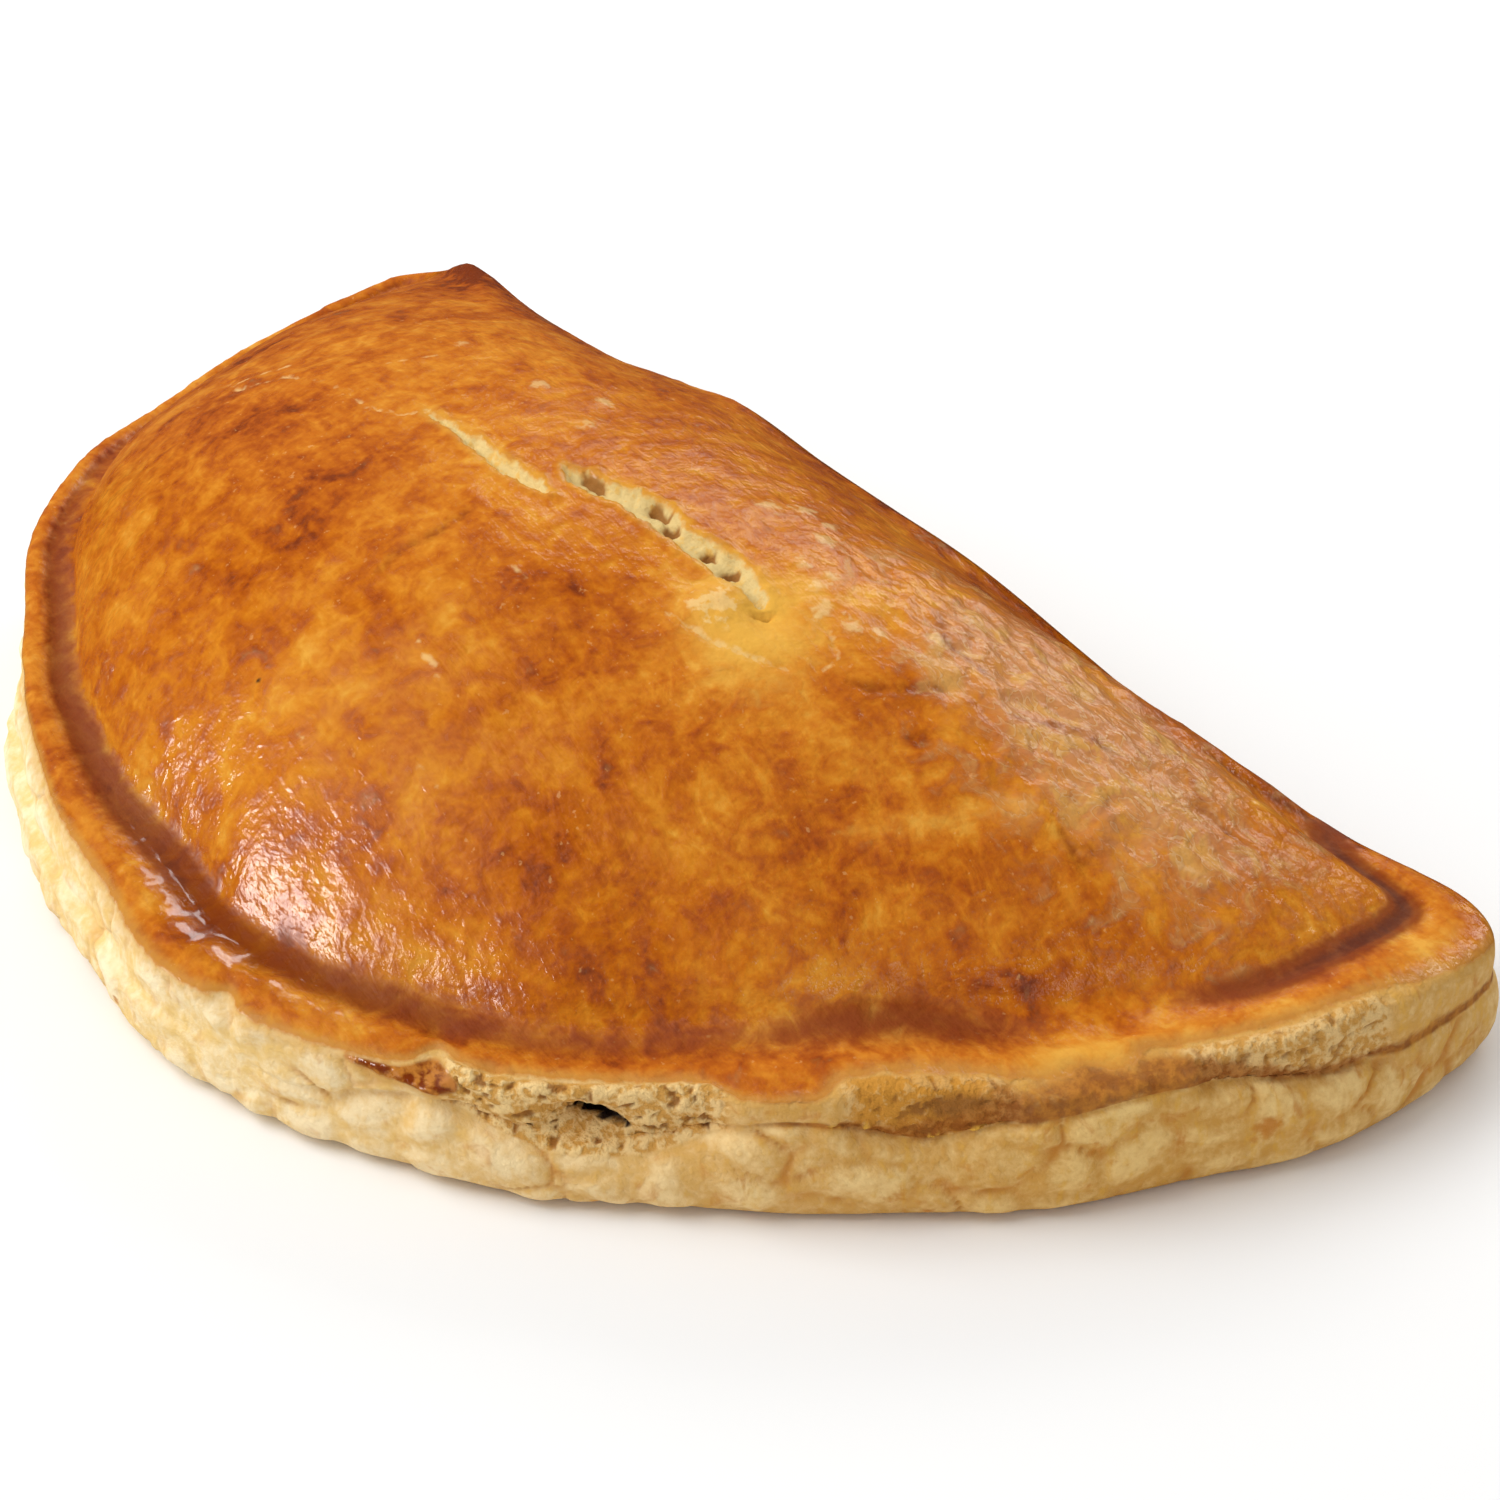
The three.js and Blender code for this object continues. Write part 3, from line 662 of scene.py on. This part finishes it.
def dressedTurnover():  # points with relief, faces and the fields that the crust reads
    here, faces = plainTurnover()
    plan, place, station, pressed = here.plan, here.place, here.station, here.pressed
    facing = normalsOf(here.positions, faces)
    here.top = ease(station, *zones["top"])
    here.side = span(station, *zones["side"]) * pressed
    here.ragged = grain(here.positions, *grains["ragged"])
    here.frayed = grain(here.positions, *grains["frayed"])
    here.wet = band(place, *crustTones["wet"]) * span(station, *zones["wet"])
    print("plain shape:", len(plan), "points")

    marks = skinMarks(here)
    patchMove, patch, patchCrack = sidePatches(here)
    tornMove, opened = tornCrumb(here)
    move = skinRelief(here, marks) + patchMove + tornMove
    positions = here.positions + facing * (move * ease(station, *zones["seated"]))[:, None]
    positions[:, 2] = np.maximum(positions[:, 2], 0)
    print("relief added")

    g = glazed
    edge = mix(g["foldEdge"], along(g["edge"], place), pressed)
    tongue = lineField(np.column_stack([place, station]), g["tongue"])
    tongue = np.where(pressed > 0.5, tongue, -9)
    here.tongue = ease(tongue, *g["tongueEdge"])
    brownTear = band(place, *crustTones["brownTear"]) * opened["torn"]
    dryTop = mix(*crustTones["dryTop"], ease(-plan[:, 0], *crustTones["dryTopLeft"]))
    dryTop *= ease(plan[:, 1], *crustTones["dryTopFrom"])
    dryTop += crustTones["dryFootShare"] * spot(plan, *crustTones["dryFoot"])
    flecks = [bell(np.hypot(place - x, positions[:, 2] - z), r) for x, z, r in crustTones["flecks"]]
    baked = crustToning(here) | {
        "glaze": np.clip(np.maximum(station - edge, tongue) * g["sharpness"], -g["most"], g["most"]),
        "wet": here.wet, "torn": opened["torn"],
        "brownTear": ease(brownTear, *crustTones["brownTearEdge"]),
        "split": np.clip(marks["split"], -3, 3), "hairline": np.clip(marks["hairline"], -3, 3),
        # near black in the slit and the deep hole of the first tear, painted shade
        "hollow": np.clip(0.4 * marks["slit"] + ease(opened["mouth"], 0.17, 0.36), 0, 1),
        "crumbs": np.clip(opened["loose"], 0, 1), "tongue": here.tongue,
        "lip": band(station, *g["lip"]) * pressed, "dryTop": dryTop * here.top,
        # darker in pores, small holes and the nook, partly painted shade
        "pore": np.clip(marks["holes"] + 0.6 * opened["pores"] * opened["torn"] + opened["nook"], 0, 1),
        "patch": patch, "patchCrack": patchCrack, "fleck": sum(flecks) * here.side,
        "speck": spot(plan, *crustTones["speck"]) * here.top,
        "under": (station < 0.5).astype(float), "sideTone": along(crustTones["sideTone"], place),
    }
    baked |= {name: marks[name] for name in ("tan", "pit", "blister", "scab", "flake", "furrow")}
    return positions, faces, baked


class Wire:  # a node's socket, with sums on it adding Math nodes
    tree = None

    def __init__(self, socket):
        self.socket = socket

    @classmethod
    def node(cls, kind, settings, inputs, out=0):
        made = cls.tree.nodes.new(kind)
        for name, value in settings.items():
            if name == "stops":
                ramp = made.color_ramp
                while len(ramp.elements) < len(value):
                    ramp.elements.new(0.5)
                for element, (at, colour) in zip(ramp.elements, value):
                    element.position, element.color = at, (*colour, 1)
            else:
                setattr(made, name, value)
        for name, value in inputs.items():
            if isinstance(value, Wire):
                cls.tree.links.new(value.socket, made.inputs[name])
            else:
                made.inputs[name].default_value = value
        return cls(made.outputs[out]) if len(made.outputs) else None

    @classmethod
    def sum(cls, operation, a, b):
        return cls.node("ShaderNodeMath", {"operation": operation}, {0: a, 1: b})

    def __add__(self, other):
        return self.sum("ADD", self, other)

    __radd__ = __add__

    def __mul__(self, other):
        return self.sum("MULTIPLY", self, other)

    __rmul__ = __mul__

    def __sub__(self, other):
        return self.sum("SUBTRACT", self, other)

    def __rsub__(self, other):
        return self.sum("SUBTRACT", other, self)

    def between(self, start, full):  # eased from 0 to 1, falling where start is the higher
        return Wire.node("ShaderNodeMapRange", {"interpolation_type": "SMOOTHSTEP"},
                         {"Value": self, "From Min": start, "From Max": full})


crustLook = {
    "glazeStops": [(0, (0.78, 0.37, 0.05)), (0.3, (0.67, 0.23, 0.016)), (0.55, (0.55, 0.143, 0.006)),
        (0.78, (0.41, 0.08, 0.003)), (1, (0.21, 0.033, 0.003))],
    "creaseBrown": (0.21, 0.034, 0.004), "creaseBlack": (0.09, 0.018, 0.008),
    # tan is partly painted sheen on the papery patch, and the pale colour beside it a painted highlight
    # on one edge of each crinkle
    "edgeTan": (0.6, 0.31, 0.065), "tan": (0.62, 0.29, 0.12), "paper": (0.78, 0.49, 0.24),
    # the pale dots stand in for tiny glints on the glaze, painted highlight; the pale colour of flaky
    # bits also paints glints on the loose flakes and the scabs by the split, painted highlight
    "golden": (0.8, 0.44, 0.06), "dots": (0.8, 0.42, 0.15), "scab": (0.88, 0.6, 0.24),
    # hollow is near black and paints shade in the slit and the deep hole of the first tear, painted
    # shade; pore darkens pores, small holes and the nook, partly painted shade
    "cream": (0.77, 0.58, 0.25), "hollow": (0.03, 0.012, 0.005), "pore": (0.33, 0.125, 0.022),
    # right and rightDeep, the colours of the right of the sides, are darker partly from baking and partly
    # as painted shade
    "pale": (0.97, 0.82, 0.54), "paleDeep": (0.87, 0.6, 0.22), "right": (0.86, 0.55, 0.165),
    # the browned colour used for toasted marks also paints the shaded edge of each crinkle on the papery
    # patch, painted shade
    # the torn crumb's colour on the right is darkened partly as painted shade
    "rightDeep": (0.6, 0.28, 0.04), "toast": (0.56, 0.2, 0.025), "tornRight": (0.58, 0.28, 0.07),
    "tornPale": (0.98, 0.72, 0.33), "tornDeep": (0.66, 0.34, 0.07), "tornBrown": (0.62, 0.27, 0.035),
    "seam": (0.25, 0.058, 0.005), "seamCrumb": (0.56, 0.21, 0.028),
    "underside": (0.62, 0.32, 0.09), "undersideDark": (0.36, 0.14, 0.03),
    "glazeRoughness": 0.2, "creaseRoughness": 0.75, "crumbRoughness": 0.85, "coatRoughness": 0.08,
    "glazeIndex": 1.45, "breadShine": 0.15, "bumpDepth": 0.0004,
    "dryness": {"lip": 0.85, "dull": 0.6, "golden": 0.5},
    "tone": {"broad": 1, "blotch": 1.1, "mottle": 0.7, "fine": 0.4, "streak": 0.3},
    "darkTone": 0.25, "goldenTone": 0.45, "paleTone": 0.55, "patchTone": 0.4,
    "papery": 0.75, "leafBump": 0.15, "tornRightness": 0.55, "furrow": 0.25, "pitRim": 1.2,
    "patchCrack": (0.45, 0.4), "scatter": (0.2, 0.45),  # share at the left, and gained by the right
}

crustNoise = {  # size in millimetres, detail, distortion
    "broad": (13, 3, 0.6), "blotch": (4.4, 3, 0.9), "mottle": (1.9, 3, 0.6),
    "fine": (0.8, 3, 0), "ragged": (1.6, 4, 0), "dots": (0.75, 2, 0),
    "scatter": (3.6, 3, 1), "swell": (1.8, 2, 0), "peel": (0.5, 2, 0),
    "streak": (1, 4, 0.5), "crinkle": (2.6, 2, 1),
}
brushed = {"turn": -9, "stretch": (10, 1.3, 4)}  # streaks left by the egg brush
crinkled = {"turn": 8, "stretch": (2, 1, 1), "leaves": 6}

crustMask = {  # start, full and, where it is not 1, strength
    "dots": (0.66, 0.74, 0.4), "dotArea": (0.42, 0.58), "golden": (0.35, 1, 0.6),
    "papery": (0.25, 1), "paperGold": (0.5, 0.62, 0.45), "leafLitEdge": (0.75, 0.97, 0.6),
    "leafShade": (0.2, 0, 0.5), "edgeTan": (1.8, 0, 0.75), "rimIn": (-0.5, -0.1, 0.5),
    "rimOut": (0.7, 0.1), "creaseBrown": (0.1, 1, 0.85), "creaseBlack": (1.05, 1.5, 0.7),
    "tongue": (0.4, 0.62), "speck": (0.4, 0.7),
    "paleLeft": (0.2, 1), "paleRight": (0.1, 0.9), "goldStreak": (0.52, 0.72, 0.5),
    "scatter": (0.58, 0.72), "fleck": (0.3, 0.8, 0.8), "tornPale": (0.3, 0.66),
    "tearBits": (0.5, 0.7, 0.4), "torn": (0.1, 0.5), "seamCrumb": (0.3, 0.75, 0.7),
    "seam": (0.2, 0.9, 0.85), "crumbTan": (-2, 0, 0.55), "crumbs": (0.3, 0.8, 0.8),
    "underside": (0.1, 1),
    "glaze": (-0.3, 0.3), "scab": (0.4, 1.1, 0.55), "scabArea": (0.1, 0.4),
    "flake": (0.3, 0.9, 0.6), "flakeArea": (0.05, 0.3), "blister": (0.5, 1.1, 0.7),
    "blisterArea": (0.1, 0.4), "furrow": (0.35, 0.6, 0.5), "splitRim": (-1.3, 0.1, 0.5),
    "hairline": (-0.1, 0.4, 0.65), "split": (-0.2, 0.25), "cream": (0.52, 0.75, 0.6),
    "pore": (0.1, 0.6, 0.9), "hollow": (0.15, 0.6), "dull": (0.2, 0.8), "coat": (0.4, 0.8),
}


def field(name):
    return Wire.node("ShaderNodeAttribute", {"attribute_name": name}, {}, "Fac")


def speckle(where, size, detail, distortion):
    return Wire.node("ShaderNodeTexNoise", {}, {"Vector": where, "Scale": 1.0 / size, "Detail": detail,
                                                "Distortion": distortion, "Roughness": 0.55}, "Fac")


def stretched(where, turn, stretch):
    return Wire.node("ShaderNodeMapping", {"vector_type": "TEXTURE"}, {
        "Vector": where, "Rotation": (0, 0, math.radians(turn)), "Scale": stretch,
    }, "Vector")


def tint(factor, a, b):  # colours are sockets, or names in crustLook
    one, two = (colour if isinstance(colour, Wire) else (*crustLook[colour], 1) for colour in (a, b))
    return Wire.node("ShaderNodeMix", {"data_type": "RGBA"}, {0: factor, 6: one, 7: two}, 2)


def layered(colour, layers):  # each layer: how much it covers, and its colour
    for cover, over in layers:
        colour = tint(cover, colour, over)
    return colour


def uneven(base, n, **weights):  # base with the named noises added, each about zero
    for name, weight in weights.items():
        base = base + (getattr(n, name) - 0.5) * weight
    return base


def mask(value, name):
    start, full, *strength = crustMask[name]
    shown = value.between(start, full)
    return shown * strength[0] if strength else shown


def sided(name):  # stronger towards the right
    left, gained = crustLook[name]
    return left + field("sideTone") * gained


def crustNoises():  # the noises, and the masks that more than one layer reads
    here = Wire.node("ShaderNodeTexCoord", {}, {}, "Object")
    at = Wire.node("ShaderNodeVectorMath", {"operation": "SCALE"}, {0: here, "Scale": 1 / mm}, "Vector")
    where = {"streak": stretched(at, brushed["turn"], brushed["stretch"]),
             "crinkle": stretched(at, crinkled["turn"], crinkled["stretch"])}
    n = SimpleNamespace()
    for name, settings in crustNoise.items():
        setattr(n, name, speckle(where.get(name, at), *settings))
    torn = uneven(n.crinkle, n, ragged=0.12) * crinkled["leaves"]
    n.leaves = Wire.node("ShaderNodeMath", {"operation": "FRACT"}, {0: torn})
    n.papery = mask(uneven(field("tan"), n, blotch=1.6, mottle=0.6), "papery")
    n.margin = uneven(field("glaze"), n, ragged=1.2, blotch=0.6)
    n.crease = uneven(field("crease"), n, blotch=0.6, mottle=0.4)
    return n


def glazeColour(n):  # egg-washed skin
    c = crustLook
    tone = 0.5 + field("dark") * c["darkTone"] - field("golden") * c["goldenTone"]
    tone = uneven(tone, n, **c["tone"])
    skin = Wire.node("ShaderNodeValToRGB", {"stops": c["glazeStops"]}, {"Fac": tone}, "Color")
    tongue = tint(mask(uneven(n.mottle, n, fine=0.6), "tongue"), "creaseBrown", "toast")
    return layered(skin, [
        # pale dots in patches, a painted highlight of tiny glints on the glaze
        (mask(n.dots, "dots") * mask(n.broad, "dotArea"), "dots"),
        (mask(uneven(field("golden"), n, mottle=1.2), "golden"), "golden"),
        # papery patch: tan partly painted sheen, then each crinkle with a painted highlight on one edge
        # and painted shade on the other
        (n.papery * c["papery"], "tan"),
        (n.papery * mask(n.blotch, "paperGold"), "golden"),
        (n.papery * mask(n.leaves, "leafLitEdge"), "paper"),
        (n.papery * mask(n.leaves, "leafShade"), "toast"),
        (mask(n.margin, "edgeTan"), "edgeTan"),
        (mask(n.margin, "rimIn") * mask(n.margin, "rimOut"), "toast"),
        (mask(n.crease, "creaseBrown"), "creaseBrown"),
        (mask(n.crease, "creaseBlack"), "creaseBlack"),
        (field("tongue"), tongue),
        (mask(field("speck"), "speck"), "hollow"),
    ])


def crumbColour(n):  # pale sides, torn crumb and underside
    c, sideTone = crustLook, field("sideTone")
    # lighter on each swollen patch and darker in the hollows between them, painted shade
    paleTone = c["paleTone"] - (field("patch") - 0.5) * c["patchTone"]
    paleTone = uneven(paleTone, n, blotch=0.8, ragged=0.7, fine=0.5)
    left = tint(mask(paleTone, "paleLeft"), "pale", "paleDeep")
    right = tint(mask(paleTone, "paleRight"), "right", "rightDeep")
    torn = tint(mask(uneven(n.ragged, n, fine=1.2), "tornPale"), "tornDeep", "tornPale")
    bits = mask(uneven(n.ragged, n, fine=1.0), "tearBits")
    torn = layered(torn, [
        # the torn crumb on the right is darkened partly with painted shade
        (sideTone * c["tornRightness"], "tornRight"),
        (field("brownTear") * (1 - bits), "tornBrown"),
    ])
    seam = tint(mask(uneven(n.ragged, n, fine=0.5), "seamCrumb"), "seam", "seamCrumb")
    plain = (1 - field("torn")) * (1 - field("seam"))
    underTone = uneven(0.5, n, broad=1.6, blotch=0.7, mottle=0.5, fine=0.7)
    return layered(left, [
        # towards the right the sides turn darker, partly painted shade
        (sideTone, right),
        (mask(uneven(n.streak, n, fine=0.4), "goldStreak") * sideTone, "golden"),
        (field("patchCrack") * sided("patchCrack"), "toast"),
        (mask(uneven(n.scatter, n, streak=0.4), "scatter") * sided("scatter"), "toast"),
        (mask(uneven(field("fleck"), n, ragged=1.2), "fleck"), "toast"),
        (mask(field("torn"), "torn"), torn),
        # the seam band, widened under the lip, is partly painted shade
        (mask(uneven(field("seam"), n, mottle=1.2), "seam"), seam),
        (mask(n.margin, "crumbTan") * plain, "edgeTan"),
        (mask(field("crumbs"), "crumbs"), "golden"),
        (field("under"), tint(mask(underTone, "underside"), "underside", "undersideDark")),
    ])


def markedColour(n, colour, split):  # flaked patches, furrows, splits and holes over the rest
    def flaked(name, **weights):
        return mask(uneven(field(name), n, **weights), name) * mask(field(name), name + "Area")

    cream = tint(mask(uneven(n.mottle, n, fine=0.7), "cream"), "cream", "golden")
    return layered(colour, [
        # scabs: pale flaky bits, their pale colour partly painted highlight
        (flaked("scab", mottle=2.6, fine=1.6), "scab"),
        # pale flakes: raised a little, with their pale colour a painted highlight
        (flaked("flake", fine=1.2), "scab"),
        (field("furrow") * (crustLook["furrow"] + mask(n.ragged, "furrow")), "creaseBrown"),
        (flaked("blister", ragged=3.0, fine=1.5), "scab"),
        (mask(field("split") + field("pit") * crustLook["pitRim"], "splitRim"), "golden"),
        (mask(uneven(field("hairline"), n, ragged=1.2, fine=0.5), "hairline"), "scab"),
        (split, cream),
        # pores and holes darkened, partly painted shade; the slit and the deep hole near black, painted
        # shade
        (mask(field("pore"), "pore"), "pore"),
        (mask(field("hollow"), "hollow"), "hollow"),
    ])


def bakedCrust():
    c = crustLook
    material = bpy.data.materials.new("bakedCrust")
    material.use_nodes = True
    material.node_tree.nodes.clear()
    Wire.tree = material.node_tree
    n = crustNoises()
    glaze = mask(n.margin, "glaze")
    split = mask(uneven(field("split"), n, ragged=0.7, fine=0.4), "split")
    colour = markedColour(n, tint(glaze, crumbColour(n), glazeColour(n)), split)

    wet = field("wet")
    matt = ((1 - glaze) + split + field("under")).between(0.0, 1.0)
    dull = mask(n.crease, "dull") * (1 - wet) * (c["creaseRoughness"] - c["glazeRoughness"])
    dry = matt + field("lip") * (1 - wet) * c["dryness"]["lip"] + dull * c["dryness"]["dull"]
    dry = dry + field("golden") * c["dryness"]["golden"] + field("dryTop")
    coat = mask(uneven(wet, n, mottle=1.4, fine=0.8), "coat") * (1 - matt)
    rough = uneven(c["glazeRoughness"] + dull, n, mottle=0.5, blotch=0.5)
    rough = rough + matt * (c["crumbRoughness"] - c["glazeRoughness"])
    skin = uneven(n.leaves * n.papery * c["leafBump"], n,
                  blotch=0.6, swell=0.45, streak=0.4, fine=0.25, peel=0.1)
    pores = uneven((n.fine - 0.5) * (0.4 + field("torn")), n, ragged=0.5)
    height = skin * (1 - matt) + pores * matt
    normal = Wire.node("ShaderNodeBump", {}, {
        "Height": height, "Strength": 1.0, "Distance": c["bumpDepth"],
    }, "Normal")
    egg = Wire.node("ShaderNodeBsdfPrincipled", {}, {
        "Base Color": colour, "Roughness": rough, "Normal": normal, "Metallic": 0.0,
        "IOR": c["glazeIndex"], "Coat Weight": coat, "Coat Roughness": c["coatRoughness"],
    }, "BSDF")
    bread = Wire.node("ShaderNodeBsdfPrincipled", {}, {
        "Base Color": colour, "Roughness": c["crumbRoughness"], "Normal": normal, "Metallic": 0.0,
        "Specular IOR Level": c["breadShine"],
    }, "BSDF")
    shader = Wire.node("ShaderNodeMixShader", {}, {0: dry.between(0.0, 1.0), 1: egg, 2: bread})
    Wire.node("ShaderNodeOutputMaterial", {}, {"Surface": shader})
    return material


def buildTurnover():
    positions, faces, baked = dressedTurnover()
    low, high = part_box("turnover")
    plain = outlinePoints(np.linspace(0, 2 * np.pi, 4001))
    offset = (np.array(low) + np.array(high)) / 2
    offset[:2] -= (plain.min(0) + plain.max(0)) / 2 * mm
    offset[2] = low[2]
    mesh = bpy.data.meshes.new("turnoverCrust")
    mesh.from_pydata((positions * mm + offset).tolist(), [], faces)
    mesh.validate()
    mesh.shade_smooth()
    for name, values in baked.items():
        layer = mesh.attributes.new(name, "FLOAT", "POINT")
        layer.data.foreach_set("value", np.ascontiguousarray(values, dtype=np.float32))
    mesh.materials.append(bakedCrust())
    piece = bpy.data.objects.new("turnoverCrust", mesh)
    bpy.context.scene.collection.objects.link(piece)
    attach(piece, "root")
    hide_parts("turnover")
    print("turnover:", len(mesh.vertices), "points,", len(mesh.polygons), "faces")


buildTurnover()

floorLook = {"size": 6, "colour": (0.95, 0.95, 0.945), "roughness": 0.7}


def layFloor():
    half = floorLook["size"] / 2
    corners = [(-half, -half, 0), (half, -half, 0), (half, half, 0), (-half, half, 0)]
    mesh = bpy.data.meshes.new("floor")
    mesh.from_pydata(corners, [], [(0, 1, 2, 3)])
    material = bpy.data.materials.new("paleFloor")
    material.use_nodes = True
    shader = material.node_tree.nodes["Principled BSDF"]
    shader.inputs["Base Color"].default_value = (*floorLook["colour"], 1)
    shader.inputs["Roughness"].default_value = floorLook["roughness"]
    mesh.materials.append(material)
    floor = bpy.data.objects.new("floor", mesh)
    bpy.context.scene.collection.objects.link(floor)
    floor.visible_glossy = False
    print("floor laid")


layFloor()

studio = {
    "aim": (0, 0, 0.015),
    # name: azimuth the light comes from, elevation, distance, width, height, watts
    "softboxes": {
        "key": (-135, 52, 1, 0.8, 0.8, 8),
        "glint": (-115, 14, 0.9, 0.62, 0.24, 9),
        "back": (110, 27, 1, 0.6, 0.34, 2.4),
        "sparkle": (-14, 38, 1, 0.2, 0.2, 0.6),
        "rim": (138, 33, 1, 0.2, 0.2, 0.55),
    },
    "mirrored": ("glint", "back", "sparkle", "rim"),  # the glaze mirrors only these
    "shining": ("key", "back"),  # only these light the dough
    "sky": 0.52,
}


def aimed(name, data, aim, azimuth, elevation, distance):  # puts a lamp or camera that looks at aim
    a, e = math.radians(azimuth), math.radians(elevation)
    back = Vector((math.cos(a) * math.cos(e), math.sin(a) * math.cos(e), math.sin(e)))
    holder = bpy.data.objects.new(name, data)
    holder.location = Vector(aim) + back * distance
    holder.rotation_euler = back.to_track_quat("Z", "Y").to_euler()
    bpy.context.scene.collection.objects.link(holder)
    return holder


def lightStudio():
    for name, (around, up, distance, wide, high, watts) in studio["softboxes"].items():
        lamp = bpy.data.lights.new(name, "AREA")
        lamp.shape, lamp.size, lamp.size_y, lamp.energy = "RECTANGLE", wide, high, watts
        holder = aimed(name, lamp, studio["aim"], around, up, distance)
        holder.visible_glossy = name in studio["mirrored"]
        holder.visible_diffuse = name in studio["shining"]
    world = bpy.data.worlds.new("studio")
    world.cycles_visibility.glossy = False
    world.use_nodes = True
    background = world.node_tree.nodes["Background"]
    background.inputs["Color"].default_value = (1, 1, 1, 1)
    background.inputs["Strength"].default_value = studio["sky"]
    bpy.context.scene.world = world
    view = bpy.context.scene.view_settings
    view.view_transform, view.look = "Standard", "None"


lightStudio()
print("lights set")

lens = {
    "from": (-41.546, 37, 0.326518),  # azimuth, elevation, distance
    "angle": 24, "sensor": 36, "aim": (0.0175, 0.00878, 0.015), "nearest": 0.01,
}


def setCamera():
    camera = bpy.data.cameras.new("camera")
    camera.sensor_width = lens["sensor"]
    camera.lens = lens["sensor"] / 2 / math.tan(math.radians(lens["angle"]) / 2)
    camera.clip_start = lens["nearest"]
    bpy.context.scene.camera = aimed("camera", camera, lens["aim"], *lens["from"])


setCamera()
print("camera set")

bpy.context.view_layer.update()
